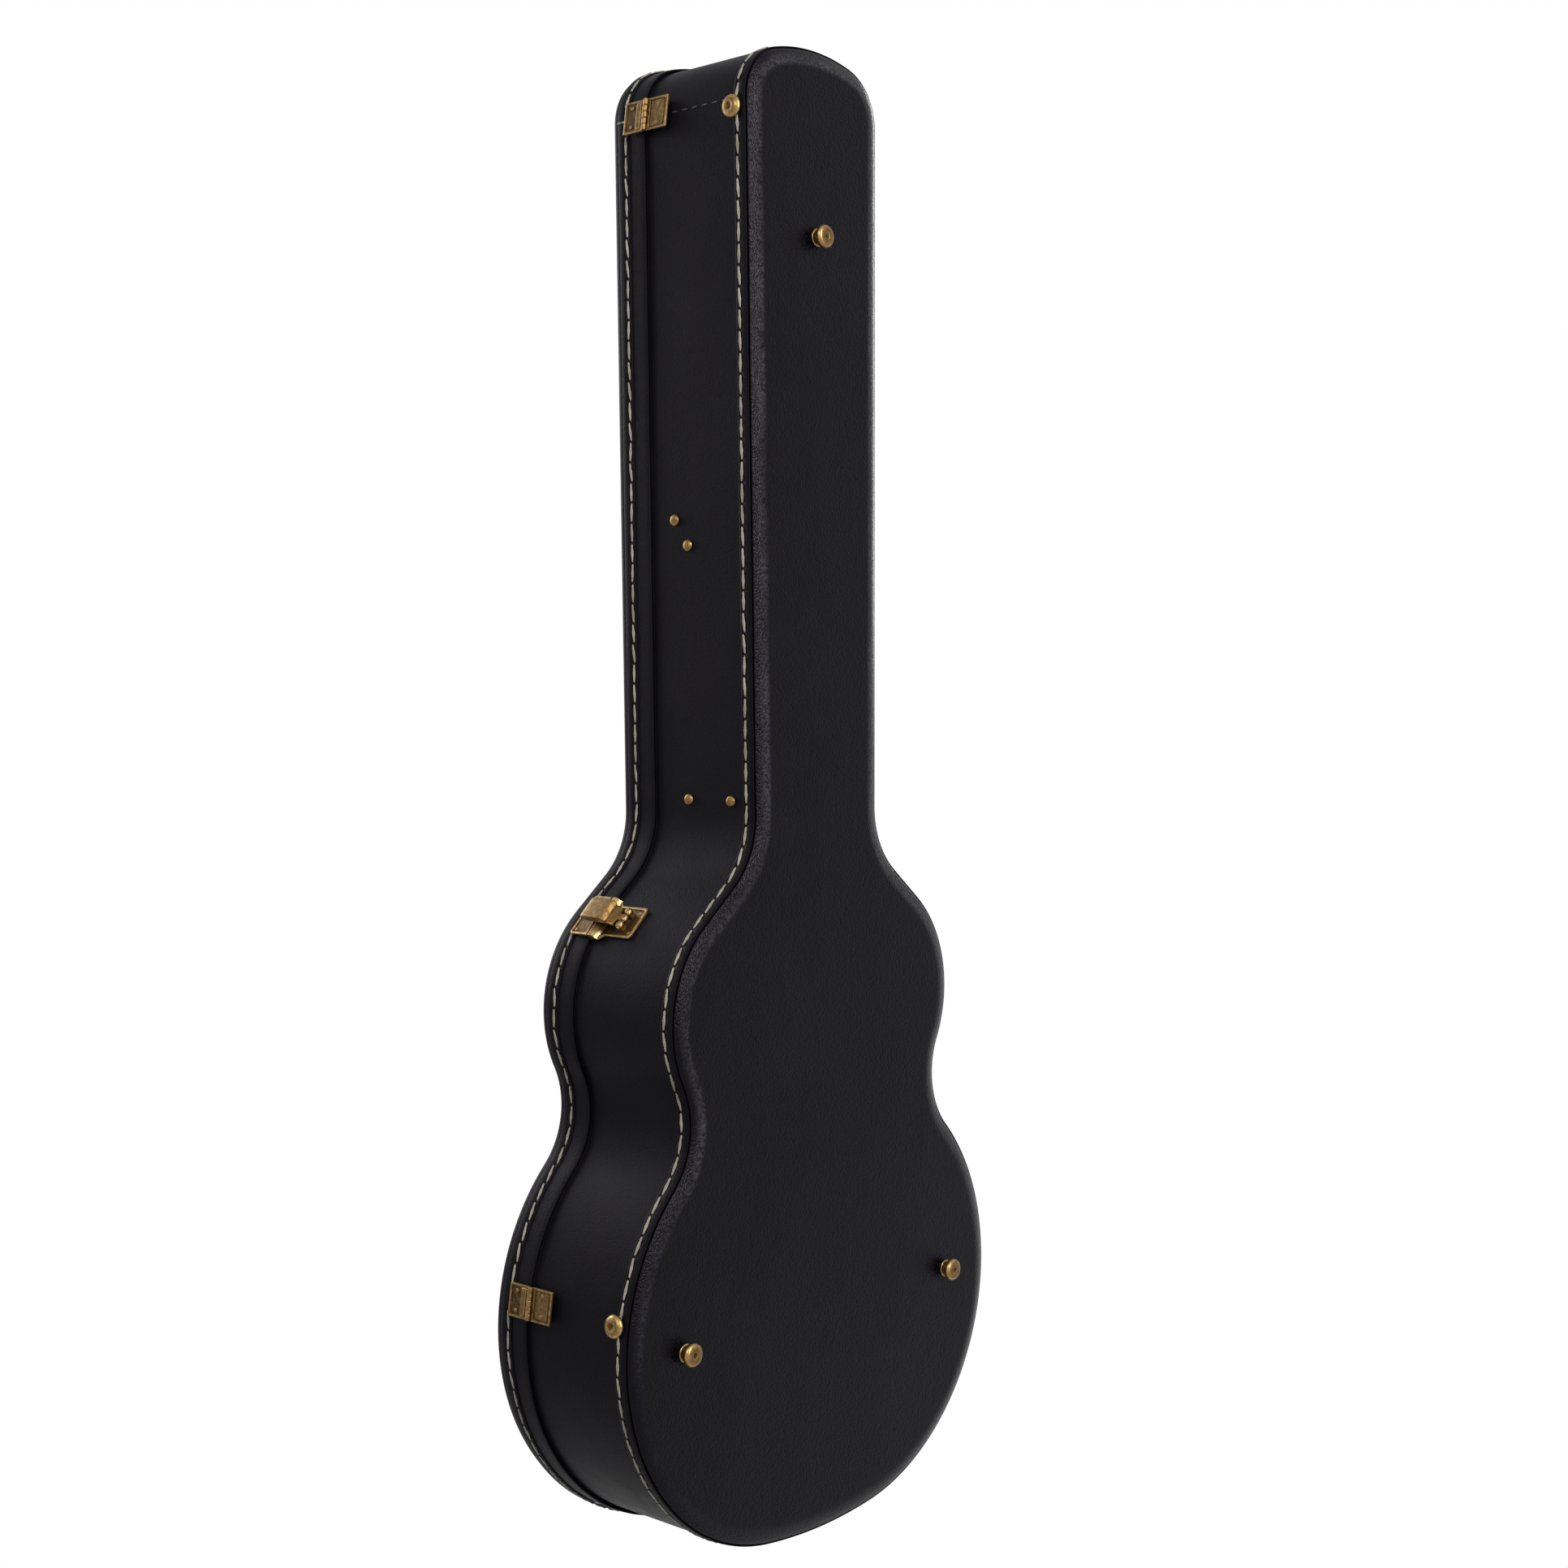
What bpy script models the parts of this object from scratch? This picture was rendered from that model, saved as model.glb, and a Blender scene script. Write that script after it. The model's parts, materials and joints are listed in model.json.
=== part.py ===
"""Hard guitar case lying on its back: two-part shell, padded inside, with hinges, latches and handle."""
import math

import bmesh
import bpy
from mathutils import Matrix, Vector

# Outline of the base wall, half of it, from the head end round to the tail end (metres, radians).
HEAD_ARC_TURN = 0.2775
CORNER_R = 0.0388
NECK_HALF_W = 0.0699
NECK_TAPER_TURN = 0.0081
NECK_LEN = 0.5034
SHOULDER_R = 0.06325
SHOULDER_TURN = 0.8817
SHOULDER_LEN = 0.0379
UPPER_R = 0.0911
UPPER_TURN = 1.3359
WAIST_R = 0.0621
WAIST_TURN = 1.2300
LOWER_R = 0.1623
LOWER_TURN = 2.2

# Heights of the shell.
FOOT_H = 0.010
SHELL_H = 0.1386
SEAM_UP = 0.1027
GAP = 0.0003

# Walls and panels.
WALL_T = 0.005
LID_PROUD = 0.003
PANEL_T = 0.007
ROLL_W = 0.010
ROLL_H = 0.0030
FRONT_R = 0.009
BIND_T = 0.0009
BIND_W = 0.0120
LID_BIND_W = 0.0115

# Padding.
LINING_T = 0.003
LID_LINING_T = 0.002
LIP_H = 0.007
PAD_T = 0.014
LID_PAD_T = 0.010
PAD_EDGE = 0.006

# Feet and rivets.
FOOT_R = 0.0085
FOOT_NECK_R = 0.0042
FOOT_CUP_H = 0.0048
BACK_FOOT_HEAD_Y = 0.133
BACK_FOOT_TAIL_Y = 0.165
BACK_FOOT_X = 0.1448
EDGE_FOOT_R = 0.0082
EDGE_FOOT_H = 0.0055
EDGE_FOOT_UP = 0.0150
EDGE_FOOT_HEAD_Y = 0.050
EDGE_FOOT_TAIL_Y = 0.192
RIVET_R = 0.0044
RIVET_H = 0.0024

# Hinges.
HINGE_LEN = 0.0235
HINGE_LEAF_T = 0.0012
HINGE_KNUCKLE_R = 0.0019
HINGE_PIN_R = 0.0010
HINGE_LID_W = 0.0215
HINGE_BASE_W = 0.0215
HINGE_DROP = 0.005
HINGE_HEAD_SLIDE = -0.006
HINGE_TAIL_SLIDE = 0.004
PACKER_LEN = 0.021
PACKER_W = 0.011
PACKER_DROP = 0.0035
RUN = 0.0002
TRIM = 0.0001

# Latches.
LATCH_W = 0.036
LATCH_PLATE_T = 0.0014
LATCH_DROP = 0.038
LATCH_RISE = 0.0175
LATCH_PIVOT_DROP = 0.0255
LATCH_CLIP = 0.004
LATCH_WIDE = 0.008
LEVER_W = 0.018
LEVER_T = 0.0022
LEVER_TOP = 0.0075
LEVER_OUT = 0.0074
KNUCKLE_R = 0.0030
LATCH_PIN_R = 0.0014
LUG_OUT = 0.0056
LATCH_LOWER_TURN = 0.92
LATCH_SHOULDER_TURN = 0.06

# Handle.
HANDLE_SPAN = 0.106
HANDLE_UP = 0.086
HANDLE_OUT = 0.0100
HANDLE_DROP = 0.034
GRIP_R = 0.0085
ARM_T = 0.0040
ARM_W = 0.0110
HANDLE_PIN_R = 0.0018
EAR_T = 0.0040
FOOT_LEN = 0.020
FOOT_T = 0.0020

# Neck rest and accessory well.
REST_Y = 0.344
REST_T = 0.036
REST_H = 0.088
REST_DIP = 0.016
BULKHEAD_Y = 0.5375
BULKHEAD_T = 0.012
BULKHEAD_H = 0.0775

Z_BACK = FOOT_H
Z_SEAM = Z_BACK + SEAM_UP
Z_FRONT = Z_BACK + SHELL_H
Z_WALL = Z_BACK + ROLL_H + GAP
Z_FLOOR = Z_BACK + PANEL_T
FITTING_STAND = GAP + BIND_T + GAP

for old in list(bpy.data.objects):
    bpy.data.objects.remove(old, do_unlink=True)
scene = bpy.context.scene
case = bpy.data.collections.new("guitar_case")
scene.collection.children.link(case)
cutters = bpy.data.collections.new("cutters")
scene.collection.children.link(cutters)


def material(name, colour, rough, metal=0.0):
    mat = bpy.data.materials.new(name)
    mat.use_nodes = True
    bsdf = mat.node_tree.nodes["Principled BSDF"]
    bsdf.inputs["Base Color"].default_value = (*colour, 1.0)
    bsdf.inputs["Roughness"].default_value = rough
    bsdf.inputs["Metallic"].default_value = metal
    return mat


COVER = (0.012, 0.012, 0.015)
EDGING = (0.016, 0.016, 0.019)
BRASS = (0.36, 0.25, 0.10)
PLUSH = (0.03, 0.012, 0.014)
STEEL = (0.30, 0.28, 0.24)


def finish(name, bm, colour, rough=0.5, metal=0.0, smooth=False):
    bmesh.ops.remove_doubles(bm, verts=bm.verts, dist=0.000002)
    bmesh.ops.recalc_face_normals(bm, faces=bm.faces)
    mesh = bpy.data.meshes.new(name)
    bm.to_mesh(mesh)
    bm.free()
    mesh.polygons.foreach_set("use_smooth", [smooth] * len(mesh.polygons))
    obj = bpy.data.objects.new(name, mesh)
    obj.data.materials.append(material(name + "_skin", colour, rough, metal))
    case.objects.link(obj)
    return obj


class Turtle:
    """Walks the half outline and keeps points, outward normals and the marks between arcs."""

    def __init__(self):
        self.at = Vector((0.0, 0.0))
        self.heading = 0.0
        self.points = [self.at.copy()]
        self.normals = [Vector((0.0, 1.0))]
        self.marks = {}

    def left(self, heading):
        return Vector((-math.sin(heading), math.cos(heading)))

    def put(self, point, heading):
        self.points.append(point)
        self.normals.append(self.left(heading))

    def arc(self, name, radius, turn, steps):
        side = -1.0 if turn > 0.0 else 1.0
        centre = self.at + self.left(self.heading) * side * radius
        start = self.heading
        for i in range(1, steps + 1):
            h = start - turn * i / steps
            self.put(centre - self.left(h) * side * radius, h)
        self.heading = start - turn
        self.at = self.points[-1].copy()
        self.marks[name] = (centre, radius, start, self.heading)

    def line(self, name, length):
        start = self.at.copy()
        ahead = Vector((math.cos(self.heading), math.sin(self.heading)))
        self.at = start + ahead * length
        self.put(self.at.copy(), self.heading)
        self.marks[name] = (start, self.at.copy(), self.heading)


walk = Turtle()
head_arc_r = (NECK_HALF_W - CORNER_R * (1.0 - math.sin(HEAD_ARC_TURN))) / math.sin(HEAD_ARC_TURN)
walk.arc("head", head_arc_r, HEAD_ARC_TURN, 3)
walk.arc("corner", CORNER_R, math.pi / 2 + NECK_TAPER_TURN - HEAD_ARC_TURN, 10)
walk.line("neck", NECK_LEN)
walk.arc("shoulder", SHOULDER_R, -SHOULDER_TURN, 7)
walk.line("shoulder_line", SHOULDER_LEN)
walk.arc("upper", UPPER_R, UPPER_TURN, 11)
walk.arc("waist", WAIST_R, -WAIST_TURN, 9)
walk.arc("lower", LOWER_R, LOWER_TURN, 17)
tail_turn = math.pi + walk.heading
tail_r = walk.at.x / math.sin(tail_turn)
walk.arc("tail", tail_r, tail_turn, 6)
walk.points[-1].x = 0.0
CASE_LEN = -walk.points[-1].y
HEAD_Y = CASE_LEN / 2
HALF = [(Vector((p.x, p.y + HEAD_Y)), n.copy()) for p, n in zip(walk.points, walk.normals)]


def mark_centre(name):
    c = walk.marks[name][0]
    return Vector((c.x, c.y + HEAD_Y))


def loop(off):
    """Closed outline moved outwards by off, head centre first, +X side down to the tail and back."""
    right = [p + n * off for p, n in HALF]
    left = [Vector((-p.x, p.y)) for p in right[-2:0:-1]]
    return right + left


def clip_loop(off, y_low, y_high):
    """Part of the outline between two cross lines."""
    right = [p + n * off for p, n in HALF]
    out = []
    for a, b in zip(right, right[1:]):
        for y in sorted((y_low, y_high), reverse=True):
            if (a.y - y) * (b.y - y) < 0.0:
                out.append(a.lerp(b, (a.y - y) / (a.y - b.y)))
        if y_low < b.y < y_high:
            out.append(b)
    return out + [Vector((-p.x, p.y)) for p in reversed(out)]


def skin(bm, rings, closed):
    """Joins equal rings in turn; the ends are capped unless the stack closes on itself."""
    rows = [[bm.verts.new(v) for v in ring] for ring in rings]
    pairs = list(zip(rows, rows[1:]))
    if closed:
        pairs.append((rows[-1], rows[0]))
    for a, b in pairs:
        n = len(a)
        for i in range(n):
            j = (i + 1) % n
            bm.faces.new((a[i], a[j], b[j], b[i]))
    if not closed:
        bm.faces.new(rows[0])
        bm.faces.new(rows[-1])


def level(points, z):
    return [Vector((p.x, p.y, z)) for p in points]


def band(name, profile, colour, rough=0.5):
    """Ring that follows the outline; profile is a list of (offset, height)."""
    bm = bmesh.new()
    skin(bm, [level(loop(o), z) for o, z in profile], True)
    return finish(name, bm, colour, rough)


def slab(name, profile, colour, rough=0.5):
    """Plate with the case outline; profile runs from the bottom face to the top face."""
    bm = bmesh.new()
    skin(bm, [level(loop(o), z) for o, z in profile], False)
    return finish(name, bm, colour, rough)


def prism(bm, points, vec):
    """Solid from a flat loop of points pushed along vec."""
    skin(bm, [points, [p + vec for p in points]], False)


def box(bm, lo, hi):
    pts = [(lo[0], lo[1]), (hi[0], lo[1]), (hi[0], hi[1]), (lo[0], hi[1])]
    prism(bm, [Vector((x, y, lo[2])) for x, y in pts], Vector((0.0, 0.0, hi[2] - lo[2])))


def turned(bm, profile, sides):
    """Solid of revolution about Z; profile is (radius, height) from axis to axis."""
    rows = []
    for r, z in profile:
        if r < 1e-7:
            rows.append([bm.verts.new((0.0, 0.0, z))])
        else:
            steps = [2 * math.pi * i / sides for i in range(sides)]
            rows.append([bm.verts.new((r * math.cos(t), r * math.sin(t), z)) for t in steps])
    for a, b in zip(rows, rows[1:]):
        for i in range(sides):
            j = (i + 1) % sides
            if len(a) == 1:
                bm.faces.new((a[0], b[i], b[j]))
            elif len(b) == 1:
                bm.faces.new((a[i], a[j], b[0]))
            else:
                bm.faces.new((a[i], a[j], b[j], b[i]))


def rod(bm, start, end, radius, sides=16):
    """Round bar between two points."""
    way = end - start
    turn = way.to_track_quat("Z", "Y").to_matrix().to_4x4()
    part = bmesh.new()
    turned(part, [(0.0, 0.0), (radius, 0.0), (radius, way.length), (0.0, way.length)], sides)
    bmesh.ops.transform(part, matrix=Matrix.Translation(start) @ turn, verts=part.verts)
    add(bm, part)


def add(bm, part):
    mesh = bpy.data.meshes.new("piece")
    part.to_mesh(mesh)
    part.free()
    bm.from_mesh(mesh)
    bpy.data.meshes.remove(mesh)


def cutter(name, bm):
    bmesh.ops.recalc_face_normals(bm, faces=bm.faces)
    mesh = bpy.data.meshes.new(name)
    bm.to_mesh(mesh)
    bm.free()
    obj = bpy.data.objects.new(name, mesh)
    obj.hide_render = True
    obj.display_type = "WIRE"
    cutters.objects.link(obj)
    return obj


def boolean(target, tool, operation):
    mod = target.modifiers.new(operation.lower() + "_" + tool.name, "BOOLEAN")
    mod.operation = operation
    mod.solver = "EXACT"
    mod.object = tool


def place(obj, point, x_way, z_way):
    """Puts an object made about its own origin at a point, with its local X and Z ways given."""
    x = x_way.normalized()
    z = z_way.normalized()
    y = z.cross(x)
    rot = Matrix((x, y, z)).transposed().to_4x4()
    obj.matrix_world = Matrix.Translation(point) @ rot


UP = Vector((0.0, 0.0, 1.0))

# Base shell: wall band, back panel with a soft rolled edge, stitched edging.
band("base_wall", [(0.0, Z_WALL), (0.0, Z_SEAM), (-WALL_T, Z_SEAM), (-WALL_T, Z_WALL)], COVER)
roll = []
for k in range(4):
    t = math.pi / 2 * k / 3
    roll.append((-ROLL_W + ROLL_W * math.sin(t), Z_BACK + ROLL_H - ROLL_H * math.cos(t)))
panel_in = -WALL_T - GAP
slab("back_panel", roll + [(panel_in, Z_BACK + ROLL_H), (panel_in, Z_FLOOR)], COVER)
z_bind = Z_WALL + 0.0004
band("base_edging", [(GAP, z_bind), (GAP, z_bind + BIND_W), (GAP + BIND_T, z_bind + BIND_W - BIND_T),
                     (GAP + BIND_T, z_bind + BIND_T)], EDGING)

# Lid shell: wall band that stands proud of the base, front panel with a round edge, edging.
lid_low = Z_SEAM + GAP
lid_high = Z_FRONT - FRONT_R - GAP
lid_in = LID_PROUD - WALL_T
band("lid_wall", [(LID_PROUD, lid_low), (LID_PROUD, lid_high), (lid_in, lid_high), (lid_in, lid_low)], COVER)
dome = []
for k in range(4):
    t = math.pi / 2 * k / 3
    dome.append((LID_PROUD - FRONT_R + FRONT_R * math.cos(t), Z_FRONT - FRONT_R + FRONT_R * math.sin(t)))
slab("front_panel", dome, COVER)
z_lb = lid_high - LID_BIND_W
lid_bind = LID_PROUD + GAP
band("lid_edging", [(lid_bind, z_lb), (lid_bind, lid_high), (lid_bind + BIND_T, lid_high - BIND_T),
                    (lid_bind + BIND_T, z_lb + BIND_T)], EDGING)

# Plush lining: board round the wall with a lip that locates the lid, floor pad, lid pad.
lin_out = -WALL_T - 2 * GAP
lin_in = lin_out - LINING_T
z_lin = Z_FLOOR + GAP
band("base_lining", [(lin_out, z_lin), (lin_out, Z_SEAM + LIP_H), (lin_in, Z_SEAM + LIP_H), (lin_in, z_lin)],
     PLUSH, 0.9)
lid_lin = lid_in - GAP
band("lid_lining", [(lid_lin, lid_low), (lid_lin, lid_high), (lid_lin - LID_LINING_T, lid_high),
                    (lid_lin - LID_LINING_T, lid_low)], PLUSH, 0.9)
pad_out = lin_in - GAP
pad_top = z_lin + PAD_T
slab("floor_pad", [(pad_out - 0.001, z_lin), (pad_out, z_lin + PAD_T * 0.35), (pad_out - 0.0015, pad_top - PAD_EDGE),
                   (pad_out - PAD_EDGE, pad_top - 0.002), (pad_out - 3 * PAD_EDGE, pad_top)], PLUSH, 0.9)
lid_pad_out = lid_lin - LID_LINING_T - GAP
lid_pad_top = Z_FRONT - FRONT_R - GAP
lid_pad_low = lid_pad_top - LID_PAD_T
slab("lid_pad", [(lid_pad_out - 3 * PAD_EDGE, lid_pad_low), (lid_pad_out - PAD_EDGE, lid_pad_low + 0.0015),
                 (lid_pad_out - 0.0015, lid_pad_low + PAD_EDGE), (lid_pad_out, lid_pad_top - 0.001),
                 (lid_pad_out - 0.001, lid_pad_top)], PLUSH, 0.9)


def cross_block(name, y_mid, thick, height, dip, colour):
    """Padded block across the neck that stands on the floor pad, with a dip for the neck."""
    y0 = y_mid - thick / 2
    inner = clip_loop(lin_in - GAP, y0, y0 + thick)
    half_w = min(p.x for p in inner if p.x > 0.0)
    z0 = pad_top + GAP
    z1 = Z_BACK + height
    dip_w = half_w * 0.62
    pts = [Vector((-half_w, y0, z0)), Vector((half_w, y0, z0)), Vector((half_w, y0, z1 - 0.004)),
           Vector((half_w - 0.004, y0, z1))]
    for k in range(7):
        t = math.pi * k / 6
        pts.append(Vector((dip_w * math.cos(t), y0, z1 - dip * math.sin(t))))
    pts += [Vector((-half_w + 0.004, y0, z1)), Vector((-half_w, y0, z1 - 0.004))]
    bm = bmesh.new()
    inset = min(0.004, thick / 4)
    mid = Vector((0.0, 0.0, (z0 + z1) / 2))
    small = [Vector((p.x * 0.97, p.y, mid.z + (p.z - mid.z) * 0.97)) for p in pts]
    far = Vector((0.0, thick, 0.0))
    step = Vector((0.0, inset, 0.0))
    skin(bm, [small, [p + step for p in pts], [p + far - step for p in pts], [p + far for p in small]], False)
    return finish(name, bm, colour, 0.9)


cross_block("neck_rest", HEAD_Y - REST_Y, REST_T, REST_H, REST_DIP, PLUSH)
cross_block("well_bulkhead", HEAD_Y - BULKHEAD_Y, BULKHEAD_T, BULKHEAD_H, REST_DIP * 0.6, PLUSH)

# Feet under the back panel.
foot_profile = [(0.0, 0.0), (FOOT_R * 0.62, 0.0), (FOOT_R * 0.93, FOOT_CUP_H * 0.28),
                (FOOT_R, FOOT_CUP_H * 0.7), (FOOT_R * 0.9, FOOT_CUP_H), (FOOT_NECK_R, FOOT_CUP_H * 1.04),
                (FOOT_NECK_R, FOOT_H - GAP), (0.0, FOOT_H - GAP)]
foot_places = {"back_foot_head": (0.0, HEAD_Y - BACK_FOOT_HEAD_Y),
               "back_foot_tail_hinge_side": (BACK_FOOT_X, -HEAD_Y + BACK_FOOT_TAIL_Y),
               "back_foot_tail_handle_side": (-BACK_FOOT_X, -HEAD_Y + BACK_FOOT_TAIL_Y)}
for name, (x, y) in foot_places.items():
    bm = bmesh.new()
    turned(bm, foot_profile, 20)
    foot = finish(name, bm, BRASS, 0.35, 1.0, True)
    foot.location = (x, y, 0.0)


def wall_at(y, side):
    """Point and outward way of the base wall at a cross line; side is +1 or -1."""
    for (a, na), (b, nb) in zip(HALF, HALF[1:]):
        if (a.y - y) * (b.y - y) <= 0.0 and a.y != b.y:
            t = (a.y - y) / (a.y - b.y)
            p = a.lerp(b, t)
            n = Vector((a.y - b.y, b.x - a.x)).normalized()
            return Vector((side * p.x, p.y, 0.0)), Vector((side * n.x, n.y, 0.0))
    return None


def wall_hit(point, way, off):
    """Nearest place where a level line meets the base outline moved outwards by off."""
    ring = loop(off)
    best = None
    for a, b in zip(ring, ring[1:] + ring[:1]):
        e = b - a
        det = way.x * e.y - way.y * e.x
        if abs(det) > 1e-12:
            dx = a.x - point.x
            dy = a.y - point.y
            t = (dx * e.y - dy * e.x) / det
            u = (dx * way.y - dy * way.x) / det
            if -1e-6 <= u <= 1.0 + 1e-6 and t > -1e-6 and (best is None or t < best):
                best = t
    return Vector((point.x + way.x * best, point.y + way.y * best, 0.0))


def stud(name, y, side, up, profile, lift, sides):
    """Round fitting that stands out of the wall."""
    p, n = wall_at(y, side)
    bm = bmesh.new()
    turned(bm, profile, sides)
    obj = finish(name, bm, BRASS, 0.35, 1.0, True)
    place(obj, Vector((p.x, p.y, Z_BACK + up)) + n * lift, UP, n)
    return obj


edge_profile = [(0.0, 0.0), (EDGE_FOOT_R * 0.8, 0.0), (EDGE_FOOT_R, EDGE_FOOT_H * 0.35),
                (EDGE_FOOT_R * 0.86, EDGE_FOOT_H * 0.78), (EDGE_FOOT_R * 0.5, EDGE_FOOT_H),
                (EDGE_FOOT_R * 0.26, EDGE_FOOT_H * 0.9), (0.0, EDGE_FOOT_H * 0.82)]
edge_lift = GAP + BIND_T + GAP
stud("edge_foot_head", HEAD_Y - EDGE_FOOT_HEAD_Y, 1, EDGE_FOOT_UP, edge_profile, edge_lift, 20)
stud("edge_foot_tail", -HEAD_Y + EDGE_FOOT_TAIL_Y, 1, EDGE_FOOT_UP, edge_profile, edge_lift, 20)

rivet_profile = [(0.0, 0.0), (RIVET_R, 0.0), (RIVET_R * 0.92, RIVET_H * 0.5), (RIVET_R * 0.55, RIVET_H * 0.9),
                 (0.0, RIVET_H)]
rest_y = HEAD_Y - REST_Y
bulk_y = HEAD_Y - BULKHEAD_Y
rivets = {"rest_rivet_front": (rest_y + REST_T * 0.26, REST_H - 0.008),
          "rest_rivet_rear": (rest_y - REST_T * 0.26, REST_H - 0.021),
          "bulkhead_rivet_high": (bulk_y, BULKHEAD_H - 0.008),
          "bulkhead_rivet_low": (bulk_y, BULKHEAD_H - 0.050)}
for name, (y, up) in rivets.items():
    stud(name + "_hinge_side", y, 1, up, rivet_profile, GAP, 14)
    stud(name + "_handle_side", y, -1, up, rivet_profile, GAP, 14)

# Hinge line: it touches the lid outside at the head corner and at the lower bout.
corner_c = mark_centre("corner")
lower_c = mark_centre("lower")
corner_r = CORNER_R + LID_PROUD
lower_r = LOWER_R + LID_PROUD
span = corner_c - lower_c
hinge_turn = math.atan2(span.y, span.x) - math.acos((lower_r - corner_r) / span.length)
hinge_out = Vector((math.cos(hinge_turn), math.sin(hinge_turn), 0.0))
hinge_way = Vector((-hinge_out.y, hinge_out.x, 0.0))
hinge_off = FITTING_STAND + HINGE_KNUCKLE_R + GAP
leaf_z = FITTING_STAND - hinge_off
HINGES = {"head": (corner_c + corner_r * hinge_out.to_2d(), HINGE_HEAD_SLIDE),
          "tail": (lower_c + lower_r * hinge_out.to_2d(), HINGE_TAIL_SLIDE)}
z_hinge = Z_SEAM - HINGE_DROP


def hinge_leaf(name, centre, lid_side):
    """Flat leaf with its knuckles, built about the hinge line: X along it, Y up, Z outwards."""
    sign = 1.0 if lid_side else -1.0
    width = HINGE_LID_W if lid_side else HINGE_BASE_W
    half = HINGE_LEN / 2
    bm = bmesh.new()
    inner = (HINGE_KNUCKLE_R + RUN) * sign
    ys = sorted((inner, width * sign))
    box(bm, (-half, ys[0], leaf_z), (half, ys[1], leaf_z + HINGE_LEAF_T))
    leaf = finish(name, bm, BRASS, 0.35, 1.0)
    fifth = HINGE_LEN / 5
    if lid_side:
        spans = [(-1.5, -0.5), (0.5, 1.5)]
    else:
        spans = [(-2.5, -1.5), (-0.5, 0.5), (1.5, 2.5)]
    for k, (a, b) in enumerate(spans):
        bm = bmesh.new()
        rod(bm, Vector((a * fifth + RUN / 2, 0.0, 0.0)), Vector((b * fifth - RUN / 2, 0.0, 0.0)), HINGE_KNUCKLE_R, 12)
        tool = cutter(name + "_knuckle_" + str(k), bm)
        bm = bmesh.new()
        ys = sorted((0.0, (HINGE_KNUCKLE_R + 2 * RUN) * sign))
        box(bm, (a * fifth + RUN / 2, ys[0], leaf_z), (b * fifth - RUN / 2, ys[1], leaf_z + HINGE_LEAF_T))
        web = cutter(name + "_web_" + str(k), bm)
        boolean(leaf, web, "UNION")
        boolean(leaf, tool, "UNION")
        tool.parent = leaf
        web.parent = leaf
    bm = bmesh.new()
    rod(bm, Vector((-HINGE_LEN, 0.0, 0.0)), Vector((HINGE_LEN, 0.0, 0.0)), HINGE_PIN_R + RUN, 12)
    hole = cutter(name + "_hole", bm)
    boolean(leaf, hole, "DIFFERENCE")
    hole.parent = leaf
    place(leaf, centre, hinge_way, hinge_out)
    return leaf


for end, (touch, slide) in HINGES.items():
    centre = Vector((touch.x, touch.y, z_hinge)) + hinge_out * hinge_off + hinge_way * slide
    hinge_leaf("hinge_base_leaf_" + end, centre, False)
    hinge_leaf("hinge_lid_leaf_" + end, centre, True)
    bm = bmesh.new()
    half = HINGE_LEN / 2
    rod(bm, Vector((-half, 0.0, 0.0)), Vector((half, 0.0, 0.0)), HINGE_PIN_R, 12)
    pin = finish("hinge_pin_" + end, bm, STEEL, 0.35, 1.0, True)
    place(pin, centre, hinge_way, hinge_out)
    front = []
    behind = []
    for k in range(7):
        q = centre + hinge_way * PACKER_LEN * (k / 6 - 0.5) + hinge_out * (leaf_z - GAP)
        front.append(Vector((q.x, q.y, z_hinge - PACKER_DROP - PACKER_W)))
        w = wall_hit(q, -hinge_out, GAP)
        behind.append(Vector((w.x, w.y, z_hinge - PACKER_DROP - PACKER_W)))
    bm = bmesh.new()
    prism(bm, front + behind[::-1], Vector((0.0, 0.0, PACKER_W)))
    finish("hinge_packer_" + end, bm, COVER)


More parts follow.
